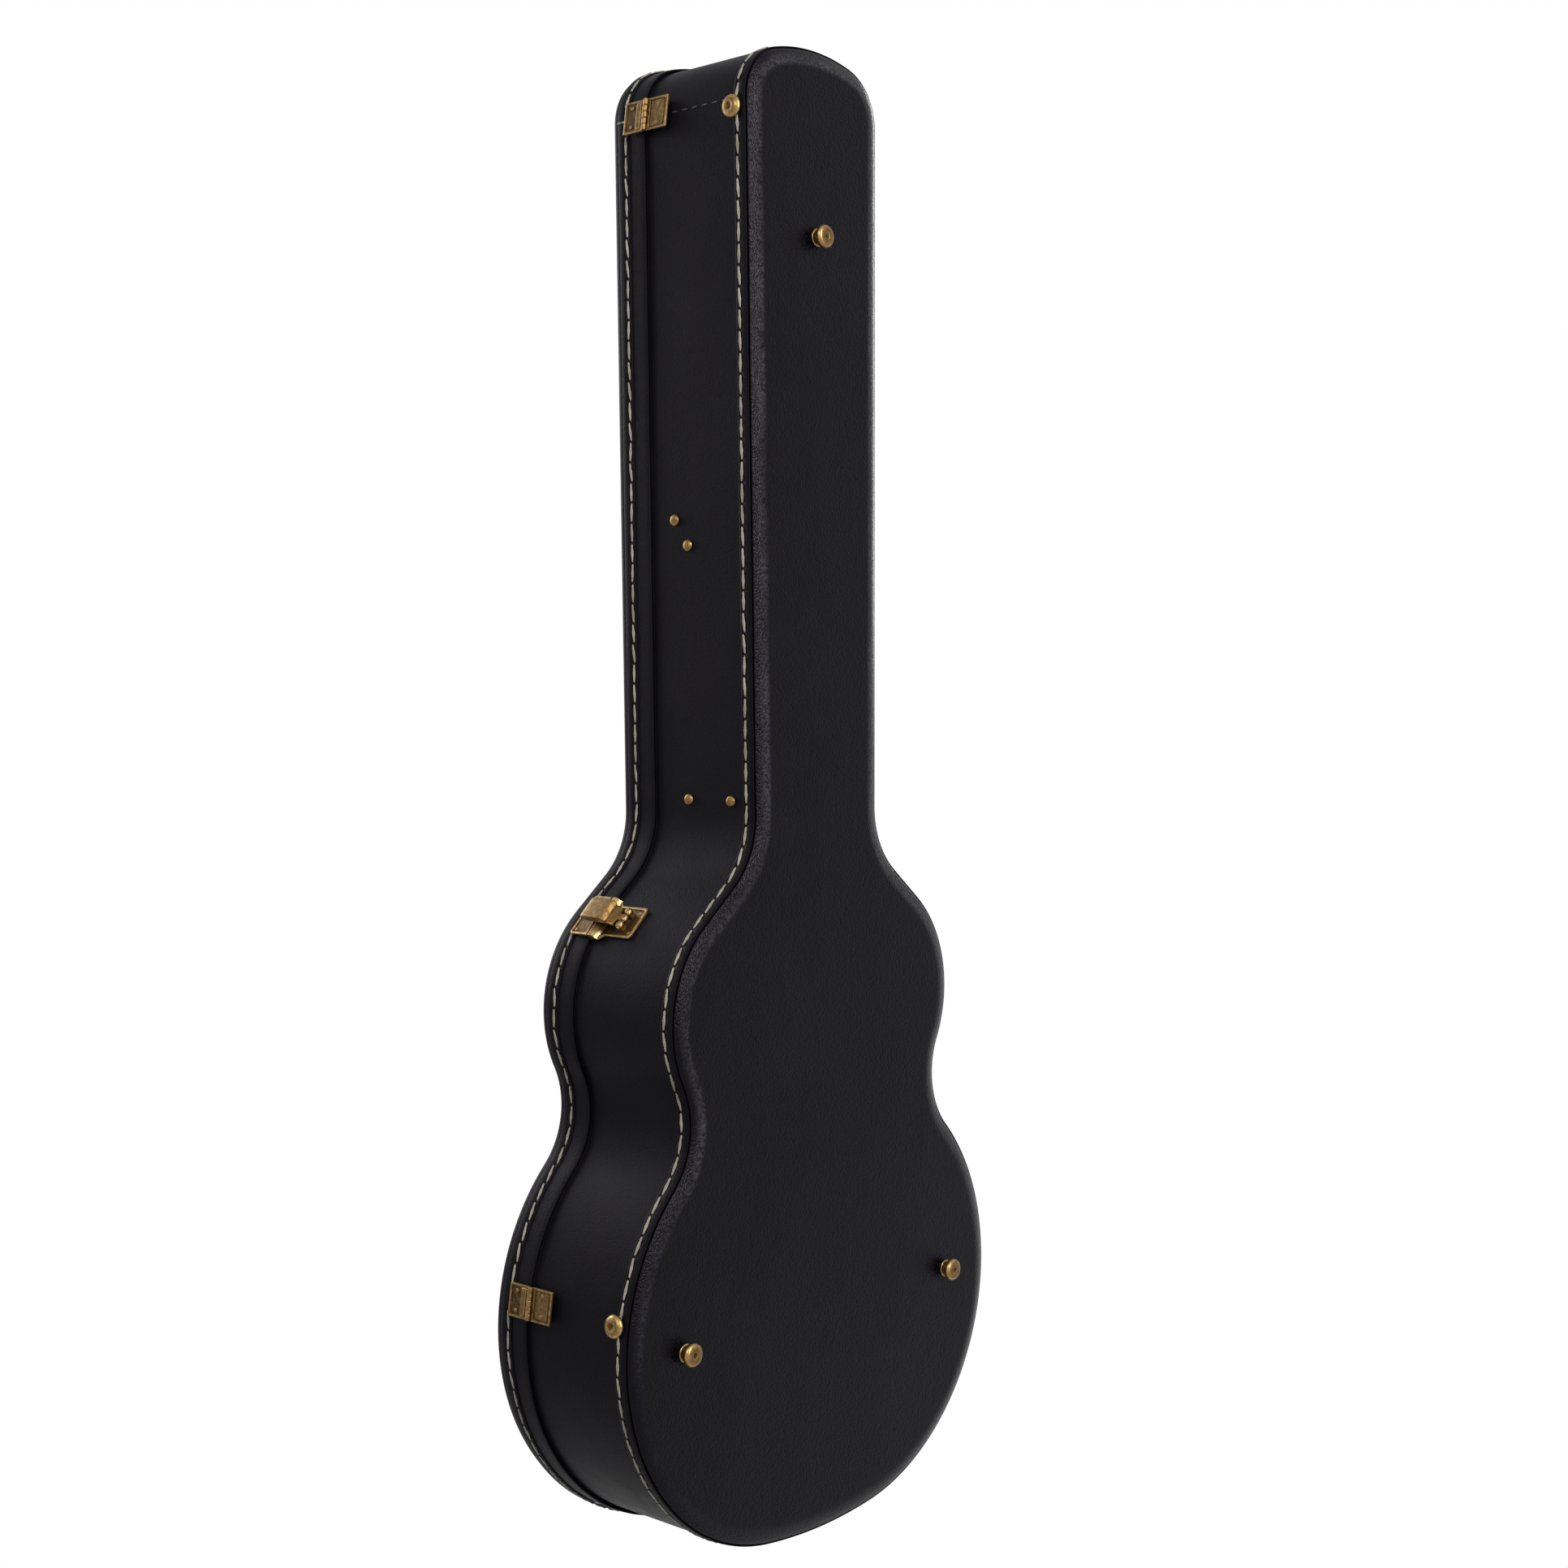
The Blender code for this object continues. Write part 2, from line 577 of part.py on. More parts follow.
def latch(tag, point, out):
    """Lever latch: plate and lever on the base, strike with a lug on the lid.

    Local X runs along the wall, Y is up and Z is outwards, from the base wall at the seam.
    """
    along = UP.cross(out)
    half = LATCH_W / 2
    bm = bmesh.new()
    low = -LATCH_DROP
    slim = half - LATCH_CLIP
    pts = [(-half, -GAP), (-half, -LATCH_WIDE), (-slim, -LATCH_WIDE - LATCH_CLIP), (-slim, low), (slim, low),
           (slim, -LATCH_WIDE - LATCH_CLIP), (half, -LATCH_WIDE), (half, -GAP)]
    prism(bm, [Vector((x, y, GAP)) for x, y in pts], Vector((0.0, 0.0, LATCH_PLATE_T)))
    plate = finish("latch_plate_" + tag, bm, BRASS, 0.35, 1.0)
    place(plate, point, along, out)
    axis_y = -LATCH_PIVOT_DROP
    axis_z = GAP + LATCH_PLATE_T + KNUCKLE_R + 2 * RUN
    ear = slim - LEVER_W / 2 - 0.0005
    for k, side in enumerate((-1.0, 1.0)):
        a = side * (LEVER_W / 2 + RUN)
        b = side * (LEVER_W / 2 + ear)
        bm = bmesh.new()
        rod(bm, Vector((a, axis_y, axis_z)), Vector((b, axis_y, axis_z)), KNUCKLE_R)
        knuckle = cutter("latch_knuckle_" + tag + "_" + str(k), bm)
        bm = bmesh.new()
        xs = sorted((a, b))
        web = KNUCKLE_R * 0.85
        box(bm, (xs[0] + TRIM, axis_y - web, GAP + LATCH_PLATE_T / 2), (xs[1] - TRIM, axis_y + web, axis_z))
        foot = cutter("latch_ear_" + tag + "_" + str(k), bm)
        for tool in (foot, knuckle):
            tool.parent = plate
            boolean(plate, tool, "UNION")
    bm = bmesh.new()
    rod(bm, Vector((-LATCH_W, axis_y, axis_z)), Vector((LATCH_W, axis_y, axis_z)), LATCH_PIN_R + RUN)
    hole = cutter("latch_hole_" + tag, bm)
    hole.parent = plate
    boolean(plate, hole, "DIFFERENCE")

    bm = bmesh.new()
    wide = LEVER_W / 2 + ear
    rod(bm, Vector((-wide, 0.0, 0.0)), Vector((wide, 0.0, 0.0)), LATCH_PIN_R, 12)
    pin = finish("latch_pin_" + tag, bm, STEEL, 0.35, 1.0, True)
    origin = point + UP * axis_y + out * axis_z
    place(pin, origin, along, out)

    top = LEVER_TOP - axis_y
    inner = LID_PROUD + LEVER_OUT - axis_z
    claw = LID_PROUD + LUG_OUT - 0.0012 - axis_z
    side = [(KNUCKLE_R * 0.2, -KNUCKLE_R), (KNUCKLE_R, -KNUCKLE_R * 0.6), (KNUCKLE_R + 0.006, inner - 0.001),
            (top - 0.0052, inner), (top - 0.0034, claw), (top - 0.0004, claw), (top, inner + LEVER_T),
            (top - 0.0025, inner + LEVER_T * 2), (KNUCKLE_R + 0.010, inner + LEVER_T * 2.1),
            (KNUCKLE_R, KNUCKLE_R), (-KNUCKLE_R * 0.5, KNUCKLE_R), (-KNUCKLE_R, KNUCKLE_R * 0.4),
            (-KNUCKLE_R * 0.9, -KNUCKLE_R * 0.5)]
    bm = bmesh.new()
    prism(bm, [Vector((-LEVER_W / 2, y, z)) for y, z in side], Vector((LEVER_W, 0.0, 0.0)))
    lever = finish("latch_lever_" + tag, bm, BRASS, 0.35, 1.0)
    bm = bmesh.new()
    rod(bm, Vector((-LATCH_W, 0.0, 0.0)), Vector((LATCH_W, 0.0, 0.0)), LATCH_PIN_R + RUN)
    hole = cutter("lever_hole_" + tag, bm)
    hole.parent = lever
    boolean(lever, hole, "DIFFERENCE")
    place(lever, origin, along, out)

    z0 = LID_PROUD + FITTING_STAND
    z1 = z0 + LATCH_PLATE_T
    bm = bmesh.new()
    low = 2 * GAP
    pts = [(-half, low), (half, low), (half, LATCH_RISE - 0.002), (half - 0.002, LATCH_RISE),
           (-half + 0.002, LATCH_RISE), (-half, LATCH_RISE - 0.002)]
    prism(bm, [Vector((x, y, z0)) for x, y in pts], Vector((0.0, 0.0, LATCH_PLATE_T)))
    strike = finish("latch_strike_" + tag, bm, BRASS, 0.35, 1.0)
    bm = bmesh.new()
    lug_top = LEVER_TOP - 0.0046
    lug_w = LEVER_W / 2 - 0.004
    box(bm, (-lug_w, low + 0.0004, z1 - 0.0006), (lug_w, lug_top, LID_PROUD + LUG_OUT))
    lug = cutter("latch_lug_" + tag, bm)
    lug.parent = strike
    boolean(strike, lug, "UNION")
    place(strike, point, along, out)


upper_c = mark_centre("upper")
heading = walk.marks["upper"][2] - LATCH_SHOULDER_TURN
shoulder_n = Vector((-math.sin(heading), math.cos(heading), 0.0))
shoulder_p = Vector((upper_c.x, upper_c.y, Z_SEAM)) + shoulder_n * UPPER_R
latch("shoulder_hinge_side", shoulder_p, shoulder_n)
mirror = Vector((-1.0, 1.0, 1.0))
latch("shoulder_handle_side", shoulder_p * mirror, shoulder_n * mirror)
low_start = walk.marks["lower"][2] - LATCH_LOWER_TURN
low_n = Vector((math.sin(low_start), math.cos(low_start), 0.0))
low_p = Vector((-lower_c.x, lower_c.y, Z_SEAM)) + low_n * LOWER_R
latch("lower_handle_side", low_p, low_n)

# Handle across the waist on the opening side; it hangs against the wall.
bouts = upper_c - lower_c
bout_turn = math.atan2(bouts.y, bouts.x) - math.acos((LOWER_R - UPPER_R) / bouts.length)
grip_out = Vector((-math.cos(bout_turn), math.sin(bout_turn), 0.0))
grip_way = UP.cross(grip_out)
touch_up = Vector((-upper_c.x, upper_c.y, 0.0)) + grip_out * UPPER_R
waist_c = mark_centre("waist")
waist_s = (Vector((-waist_c.x, waist_c.y, 0.0)) - touch_up).dot(grip_way)
half_span = HANDLE_SPAN / 2


def wall_depth(s):
    """How far the wall lies behind the line that touches both bouts, at a place along that line."""
    far = touch_up + grip_way * s + grip_out * 0.05
    return (far - wall_hit(far, -grip_out, 0.0)).dot(grip_out) - 0.05


ends = {"head": -half_span, "tail": half_span}
shift = 0.0
for k in range(12):
    shift += 0.25 * (wall_depth(waist_s + shift + half_span) - wall_depth(waist_s + shift - half_span))
depth = wall_depth(waist_s + shift - half_span)
pivot_mid = touch_up + grip_way * (waist_s + shift) + grip_out * (HANDLE_OUT - depth)
pivot_mid.z = Z_BACK + HANDLE_UP
pin_r = HANDLE_PIN_R + RUN
for tag, s in ends.items():
    inward = 1.0 if s < 0.0 else -1.0
    pivot = pivot_mid + grip_way * s
    ear_a = -inward * (ARM_T / 2 + 2 * RUN)
    ear_b = ear_a - inward * EAR_T
    xs = sorted((ear_a, ear_b))
    plan = []
    base = []
    for k in range(9):
        q = pivot + grip_way * ((ear_a + ear_b) / 2 + FOOT_LEN * (k / 8 - 0.5)) + grip_out * 0.02
        w = wall_hit(q, -grip_out, GAP)
        base.append(Vector((w.x, w.y, pivot.z - FOOT_LEN / 2)))
        plan.append(base[-1] + grip_out * FOOT_T)
    bm = bmesh.new()
    prism(bm, base + plan[::-1], Vector((0.0, 0.0, FOOT_LEN)))
    bracket = finish("handle_bracket_" + tag, bm, BRASS, 0.35, 1.0)
    roots = [wall_hit(pivot + grip_way * x + grip_out * 0.02, -grip_out, GAP + FOOT_T / 2) for x in xs]
    tips = [pivot + grip_way * x - grip_out * 4 * TRIM for x in xs]
    bm = bmesh.new()
    z_ear = pivot.z - ARM_W / 2
    prism(bm, [Vector((p.x, p.y, z_ear)) for p in roots + tips[::-1]], Vector((0.0, 0.0, ARM_W)))
    ear = cutter("bracket_ear_" + tag, bm)
    bm = bmesh.new()
    rod(bm, pivot + grip_way * (xs[0] + TRIM), pivot + grip_way * (xs[1] - TRIM), ARM_W / 2 * 0.98)
    eye = cutter("bracket_eye_" + tag, bm)
    bm = bmesh.new()
    rod(bm, pivot - grip_way * 0.02, pivot + grip_way * 0.02, pin_r)
    hole = cutter("bracket_hole_" + tag, bm)
    for tool, how in ((ear, "UNION"), (eye, "UNION"), (hole, "DIFFERENCE")):
        boolean(bracket, tool, how)

    bm = bmesh.new()
    low = -HANDLE_DROP
    pts = [(-ARM_W / 2, 0.0), (-ARM_W / 2, low + GRIP_R * 0.4), (-ARM_W * 0.3, low - GRIP_R * 0.55),
           (ARM_W * 0.3, low - GRIP_R * 0.55), (ARM_W / 2, low + GRIP_R * 0.4), (ARM_W / 2, 0.0)]
    top = [(ARM_W / 2 * math.cos(math.pi * k / 6), ARM_W / 2 * math.sin(math.pi * k / 6)) for k in range(1, 6)]
    prism(bm, [Vector((-ARM_T / 2, y, z)) for z, y in pts + top], Vector((ARM_T, 0.0, 0.0)))
    arm = finish("handle_arm_" + tag, bm, BRASS, 0.35, 1.0)
    bm = bmesh.new()
    rod(bm, Vector((-0.02, 0.0, 0.0)), Vector((0.02, 0.0, 0.0)), pin_r)
    hole = cutter("arm_hole_" + tag, bm)
    hole.parent = arm
    boolean(arm, hole, "DIFFERENCE")
    place(arm, pivot, grip_way, grip_out)

    bm = bmesh.new()
    a = inward * (ARM_T / 2)
    rod(bm, Vector((a, 0.0, 0.0)), Vector((ear_b, 0.0, 0.0)), HANDLE_PIN_R, 12)
    pin = finish("handle_pin_" + tag, bm, STEEL, 0.35, 1.0, True)
    place(pin, pivot, grip_way, grip_out)

bm = bmesh.new()
half = half_span - ARM_T / 2 - GAP
ring_n = 14
rings = []
for t, swell in ((-1.0, 0.72), (-0.94, 0.88), (-0.6, 0.98), (0.0, 1.06), (0.6, 0.98), (0.94, 0.88), (1.0, 0.72)):
    ring = []
    for i in range(ring_n):
        a = 2 * math.pi * i / ring_n
        ring.append(Vector((t * half, GRIP_R * swell * 1.05 * math.sin(a), GRIP_R * swell * 0.9 * math.cos(a))))
    rings.append(ring)
skin(bm, rings, False)
bmesh.ops.translate(bm, vec=Vector((0.0, -HANDLE_DROP, 0.0)), verts=bm.verts)
grip = finish("handle_grip", bm, COVER, 0.6, 0.0, True)
place(grip, pivot_mid, grip_way, grip_out)

# The case is centred on its own footprint.
bpy.context.view_layer.update()
graph = bpy.context.evaluated_depsgraph_get()
low_x = low_y = 1.0
high_x = high_y = -1.0
for obj in case.objects:
    done = obj.evaluated_get(graph)
    for v in done.data.vertices:
        w = obj.matrix_world @ v.co
        low_x = min(low_x, w.x)
        low_y = min(low_y, w.y)
        high_x = max(high_x, w.x)
        high_y = max(high_y, w.y)
centre_shift = Vector(((low_x + high_x) / -2, (low_y + high_y) / -2, 0.0))
for obj in bpy.data.objects:
    if obj.parent is None:
        obj.location = obj.location + centre_shift
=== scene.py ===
"""Looks of the hard guitar case: leathercloth shell, stitched edging, aged brass fittings, plush inside."""
import json
import math

import bmesh
import bpy
import numpy as np
from mathutils import Matrix, Vector, noise


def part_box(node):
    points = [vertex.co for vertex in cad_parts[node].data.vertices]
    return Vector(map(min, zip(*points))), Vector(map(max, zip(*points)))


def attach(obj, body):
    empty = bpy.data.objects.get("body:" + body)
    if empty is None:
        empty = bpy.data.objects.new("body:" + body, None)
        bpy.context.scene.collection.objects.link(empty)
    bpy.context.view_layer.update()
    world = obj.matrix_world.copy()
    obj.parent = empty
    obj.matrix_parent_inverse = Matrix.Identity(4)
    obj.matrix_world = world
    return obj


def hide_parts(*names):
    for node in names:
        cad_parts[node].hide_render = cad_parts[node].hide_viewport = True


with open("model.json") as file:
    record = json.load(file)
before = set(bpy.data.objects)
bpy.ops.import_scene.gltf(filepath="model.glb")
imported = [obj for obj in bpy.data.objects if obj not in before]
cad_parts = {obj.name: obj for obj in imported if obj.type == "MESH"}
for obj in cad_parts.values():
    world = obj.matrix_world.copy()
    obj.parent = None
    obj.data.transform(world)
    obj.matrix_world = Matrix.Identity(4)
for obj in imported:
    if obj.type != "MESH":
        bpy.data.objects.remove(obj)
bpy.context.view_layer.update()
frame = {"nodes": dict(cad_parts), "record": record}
scene = bpy.context.scene
scene.view_settings.view_transform = "Standard"
nodes = frame["nodes"]

# Outline of the base wall, half of it, from the head end round to the tail end (metres, radians).
HEAD_TURN, CORNER_R, NECK_HALF, NECK_TURN, NECK_LEN = 0.2775, 0.0388, 0.0699, 0.0081, 0.5034
SHOULDER_R, SHOULDER_TURN, SHOULDER_LEN = 0.06325, 0.8817, 0.0379
UPPER_R, UPPER_TURN, WAIST_R, WAIST_TURN = 0.0911, 1.3359, 0.0621, 1.2300
LOWER_R, LOWER_TURN = 0.1623, 2.2
CENTRE_X = 0.0032223

# Heights and thicknesses of the shell.
Z_BACK, Z_SEAM, Z_FRONT, GAP = 0.010, 0.1127, 0.1486, 0.0003
WALL_T, LID_PROUD, FRONT_R, BIND_T = 0.005, 0.003, 0.009, 0.0009
Z_WALL, Z_FLOOR = Z_BACK + 0.0062, Z_BACK + 0.007
LID_LOW, LID_HIGH = Z_SEAM + GAP, Z_FRONT - FRONT_R - GAP
BASE_STITCH_Z, LID_STITCH_Z = Z_BACK + 0.0119, Z_BACK + 0.1208
UP = Vector((0.0, 0.0, 1.0))


def half_outline(step):
    """Points and outward normals of one side, head centre to tail centre, about a step apart."""
    at, heading = np.zeros(2), 0.0
    points, normals = [at], [np.array((0.0, 1.0))]
    left = lambda h: np.array((-math.sin(h), math.cos(h)))
    head_r = (NECK_HALF - CORNER_R * (1.0 - math.sin(HEAD_TURN))) / math.sin(HEAD_TURN)
    legs = [(head_r, HEAD_TURN), (CORNER_R, math.pi / 2 + NECK_TURN - HEAD_TURN), (None, NECK_LEN),
            (SHOULDER_R, -SHOULDER_TURN), (None, SHOULDER_LEN), (UPPER_R, UPPER_TURN), (WAIST_R, -WAIST_TURN),
            (LOWER_R, LOWER_TURN), ("tail", None)]
    for radius, turn in legs:
        if radius == "tail":
            turn = math.pi + heading
            radius = at[0] / math.sin(turn)
        if radius is None:
            n = max(2, round(turn / step))
            ahead = np.array((math.cos(heading), math.sin(heading)))
            for i in range(1, n + 1):
                points.append(at + ahead * turn * i / n)
                normals.append(left(heading))
        else:
            n = max(4, round(radius * abs(turn) / step))
            side = -1.0 if turn > 0.0 else 1.0
            centre, start = at + left(heading) * side * radius, heading
            for i in range(1, n + 1):
                h = start - turn * i / n
                points.append(centre - left(h) * side * radius)
                normals.append(left(h))
            heading = start - turn
        at = points[-1]
    points, normals = np.array(points), np.array(normals)
    points[-1, 0], normals[-1] = 0.0, (0.0, -1.0)
    points[:, 1] -= points[-1, 1] / 2
    return points, normals


def closed_outline(step):
    """The whole outline, head centre first, down the hinge side and back up the handle side."""
    p, n = half_outline(step)
    flip = np.array((-1.0, 1.0))
    return np.vstack((p, p[-2:0:-1] * flip)), np.vstack((n, n[-2:0:-1] * flip))


OUT_P, OUT_N = closed_outline(0.0035)


def ring(off, z):
    """The outline moved outwards by off at one height, as rows of x, y, z."""
    flat = OUT_P + OUT_N * off
    return np.column_stack((flat[:, 0] + CENTRE_X, flat[:, 1], np.full(len(flat), z)))


def soften(profile, rounds, steps=4):
    """Closed profile with each corner rounded by its own radius."""
    out, n = [], len(profile)
    for i, (corner, r) in enumerate(zip(profile, rounds)):
        c = np.array(corner, float)
        if r <= 0.0:
            out.append(tuple(c))
            continue
        a, b = np.array(profile[i - 1], float) - c, np.array(profile[(i + 1) % n], float) - c
        a, b = c + a / np.linalg.norm(a) * r, c + b / np.linalg.norm(b) * r
        for k in range(steps + 1):
            t = k / steps
            out.append(tuple(a * (1 - t) ** 2 + 2 * c * t * (1 - t) + b * t ** 2))
    return out


def mesh_piece(name, verts, faces, material, body, stands_for=()):
    """A new piece in the row frame, riding on a body and standing for CAD nodes."""
    mesh = bpy.data.meshes.new(name)
    mesh.from_pydata([tuple(v) for v in verts], [], faces)
    mesh.update()
    bm = bmesh.new()
    bm.from_mesh(mesh)
    bmesh.ops.remove_doubles(bm, verts=bm.verts, dist=0.000002)
    bmesh.ops.recalc_face_normals(bm, faces=bm.faces)
    bm.to_mesh(mesh)
    bm.free()
    return dress(bpy.data.objects.new(name, mesh), material, body, stands_for)


def dress(obj, material, body, stands_for=()):
    """Links a piece, gives it its finish and lets it ride on its body."""
    if obj.name not in scene.collection.objects:
        scene.collection.objects.link(obj)
    obj.data.materials.clear()
    obj.data.materials.append(material)
    obj.data.polygons.foreach_set("use_smooth", [True] * len(obj.data.polygons))
    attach(obj, body)
    if stands_for:
        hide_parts(*stands_for)
    return obj


def swept(profile, closed=True):
    """Vertices and faces of a profile carried round the outline; an open profile gets flat ends."""
    rows = [ring(o, z) for o, z in profile]
    n, faces = len(OUT_P), []
    count = len(rows) if closed else len(rows) - 1
    for k in range(count):
        a, b = k * n, ((k + 1) % len(rows)) * n
        faces += [(a + i, a + (i + 1) % n, b + (i + 1) % n, b + i) for i in range(n)]
    if not closed:
        faces += [tuple(range(n - 1, -1, -1)), tuple((len(rows) - 1) * n + i for i in range(n))]
    return np.vstack(rows), faces


def unsettle(verts, amount, size, seed):
    """Moves a swept skin in and out a little, as cover stretched over board lies."""
    where = verts / size + seed
    shift = np.array([noise.noise(Vector(w)) for w in where]) * amount
    flat = np.tile(OUT_N, (len(verts) // len(OUT_N), 1))
    verts[:, :2] += flat * shift[:, None]
    return verts


def shell(name, profile, material, body, node, closed=True, ripple=0.0, seed=0.0):
    """One skin carried round the outline, standing for a solid; ripple is how far it lies in and out."""
    verts, faces = swept(profile, closed)
    if ripple:
        verts = unsettle(verts, ripple, 0.07, seed)
    return mesh_piece(name, verts, faces, material, body, [node])


def adder(tree, prefix=""):
    """A short way to add a node to a tree, with its links and settings."""
    def add(kind, links=None, **settings):
        node = tree.nodes.new(prefix + kind)
        for key, value in settings.items():
            setattr(node, key, value)
        for key, value in (links or {}).items():
            if isinstance(value, bpy.types.NodeSocket):
                tree.links.new(value, node.inputs[key])
            else:
                node.inputs[key].default_value = value
        return node
    return add


# Finishes.
class Finish:
    """A procedural material with short ways to add and join its nodes."""

    def __init__(self, name, **sockets):
        self.mat = bpy.data.materials.new(name)
        self.mat.use_nodes = True
        self.tree = self.mat.node_tree
        self.bsdf = self.tree.nodes["Principled BSDF"]
        for key, value in sockets.items():
            self.bsdf.inputs[key.replace("_", " ")].default_value = value
        self.add = adder(self.tree, "ShaderNode")
        self.here = self.add("TexCoord").outputs["Object"]

    def noise(self, scale, detail=3.0, rough=0.5, where=None):
        links = {"Vector": where or self.here, "Scale": scale, "Detail": detail, "Roughness": rough}
        return self.add("TexNoise", links).outputs["Fac"]

    def cells(self, scale, where=None):
        return self.add("TexVoronoi", {"Vector": where or self.here, "Scale": scale}).outputs["Distance"]

    def ramp(self, fac, low, high, a, b):
        links = {"Value": fac, "From Min": low, "From Max": high, "To Min": a, "To Max": b}
        return self.add("MapRange", links).outputs["Result"]

    def sum(self, a, b, share=1.0):
        return self.add("Math", {0: a, 1: self.times(b, share)}, operation="ADD").outputs[0]

    def times(self, a, b):
        return self.add("Math", {0: a, 1: b}, operation="MULTIPLY").outputs[0]

    def colours(self, fac, stops):
        node = self.add("ValToRGB", {"Fac": fac})
        band = node.color_ramp
        while len(band.elements) < len(stops):
            band.elements.new(0.5)
        for element, (place, colour) in zip(band.elements, stops):
            element.position = place
            element.color = (*colour, 1.0)
        return node.outputs["Color"]

    def blend(self, fac, under, over):
        links = {"Factor": fac, 6: under, 7: (*over, 1.0)}
        return self.add("Mix", links, data_type="RGBA").outputs[2]

    def bump(self, height, strength, distance, after=None):
        links = {"Height": height, "Strength": strength, "Distance": distance}
        if after:
            links["Normal"] = after
        return self.add("Bump", links).outputs["Normal"]

    def set(self, **sockets):
        for key, value in sockets.items():
            self.tree.links.new(value, self.bsdf.inputs[key.replace("_", " ")])
        return self.mat


def leathercloth(name, dark, light, rough, grain, seed, shine, sheen_colour=None):
    """Black coated cloth: pebbled grain, a faint mottle in colour and sheen, and a painted sheen of pale grey
    streaks blended in where an attribute of the piece marks it.
    """
    f = Finish(name, Specular_IOR_Level=shine, Specular_Tint=(0.94, 0.89, 1.0, 1.0))
    where = f.add("Mapping", {"Vector": f.here, "Location": (seed, seed * 0.7, 0.3)}).outputs["Vector"]
    pebble = f.cells(700.0, where)
    fine = f.noise(1700.0, 1.0, 0.5, where)
    broad = f.noise(9.0, 2.0, 0.55, where)
    mottle = f.noise(60.0, 3.0, 0.65, where)
    tone = f.sum(f.ramp(broad, 0.3, 0.7, 0.0, 0.55), mottle, 0.45)
    sunk = f.ramp(pebble, 0.25, 0.75, 0.0, -0.22)
    colour = f.colours(f.sum(tone, sunk), [(0.15, dark), (0.85, light)])
    # Painted sheen: a pale colour blended in streaks and patches over the marked band, in place of a
    # highlight.
    if sheen_colour:
        worn = f.add("Attribute", attribute_name="painted_roll_sheen").outputs["Fac"]
        streak = f.ramp(f.noise(520.0, 4.0, 0.7, where), 0.36, 0.66, 0.0, 1.0)
        patch = f.ramp(f.noise(15.0, 3.0, 0.6, where), 0.36, 0.62, 0.30, 1.0)
        colour = f.blend(f.times(f.times(worn, streak), patch), colour, sheen_colour)
    gloss = f.sum(f.ramp(mottle, 0.3, 0.7, rough - 0.03, rough + 0.03), f.ramp(broad, 0.5, 0.75, 0.0, 0.05))
    height = f.sum(f.times(pebble, -1.0), fine, 0.22)
    return f.set(Base_Color=colour, Roughness=gloss,
                 Normal=f.bump(height, grain, 0.0004, f.bump(broad, 0.25, 0.004)))


def aged_brass(name):
    """Antique brass: brown patina in the hollows, rubbed bright where the edge attribute is high."""
    f = Finish(name, Metallic=1.0)
    rub = f.add("Attribute", attribute_name="rubbed").outputs["Fac"]
    blotch = f.noise(330.0, 5.0, 0.65)
    speck = f.noise(1500.0, 3.0, 0.6)
    worn = f.sum(f.sum(f.ramp(rub, -0.2, 1.0, 0.02, 0.84), f.ramp(blotch, 0.35, 0.65, -0.5, 0.5), 0.30),
                 f.ramp(speck, 0.35, 0.65, -0.5, 0.5), 0.12)
    colour = f.colours(worn, [(0.0, (0.030, 0.017, 0.006)), (0.30, (0.105, 0.062, 0.022)),
                              (0.62, (0.235, 0.145, 0.055)), (1.0, (0.50, 0.35, 0.155))])
    gloss = f.ramp(worn, 0.0, 1.0, 0.50, 0.28)
    pits = f.sum(blotch, speck, 0.4)
    return f.set(Base_Color=colour, Roughness=gloss, Normal=f.bump(pits, 0.22, 0.00012))


def waxed_thread(name, light, dark):
    """Cream sewing thread with a twist of plies, a little soiled here and there."""
    f = Finish(name, Roughness=0.62, Specular_IOR_Level=0.35, Sheen_Weight=0.15)
    soil = f.noise(38.0, 4.0, 0.6)
    fleck = f.noise(700.0, 2.0, 0.5)
    tone = f.sum(f.ramp(soil, 0.35, 0.70, 0.15, 0.85), fleck, 0.35)
    colour = f.colours(tone, [(0.20, dark), (1.0, light)])
    return f.set(Base_Color=colour, Normal=f.bump(fleck, 0.5, 0.0004))


def drawn_steel(name):
    """Plain steel wire: fine drawn lines along the pin and a dull film."""
    f = Finish(name, Metallic=1.0)
    lines = f.noise(900.0, 3.0, 0.6)
    film = f.noise(180.0, 4.0, 0.6)
    tone = f.sum(f.times(film, 0.6), lines, 0.4)
    colour = f.colours(tone, [(0.25, (0.15, 0.135, 0.115)), (0.80, (0.40, 0.38, 0.34))])
    return f.set(Base_Color=colour, Roughness=f.ramp(film, 0.3, 0.7, 0.30, 0.48),
                 Normal=f.bump(lines, 0.2, 0.0001))


def plush(name, deep, pale):
    """Short pile: soft tufts, patches brushed the other way, and a bloom at grazing angles."""
    f = Finish(name, Roughness=0.92, Specular_IOR_Level=0.10, Sheen_Weight=0.45, Sheen_Roughness=0.55)
    f.bsdf.inputs["Sheen Tint"].default_value = (0.85, 0.30, 0.32, 1.0)
    pile = f.noise(1300.0, 2.0, 0.6)
    tuft = f.cells(520.0)
    brushed = f.noise(24.0, 3.0, 0.55)
    tone = f.sum(f.sum(f.times(brushed, 0.75), pile, 0.25), tuft, -0.25)
    colour = f.colours(tone, [(0.18, deep), (0.72, pale)])
    height = f.sum(pile, tuft, -0.6)
    return f.set(Base_Color=colour, Normal=f.bump(height, 0.55, 0.0006))


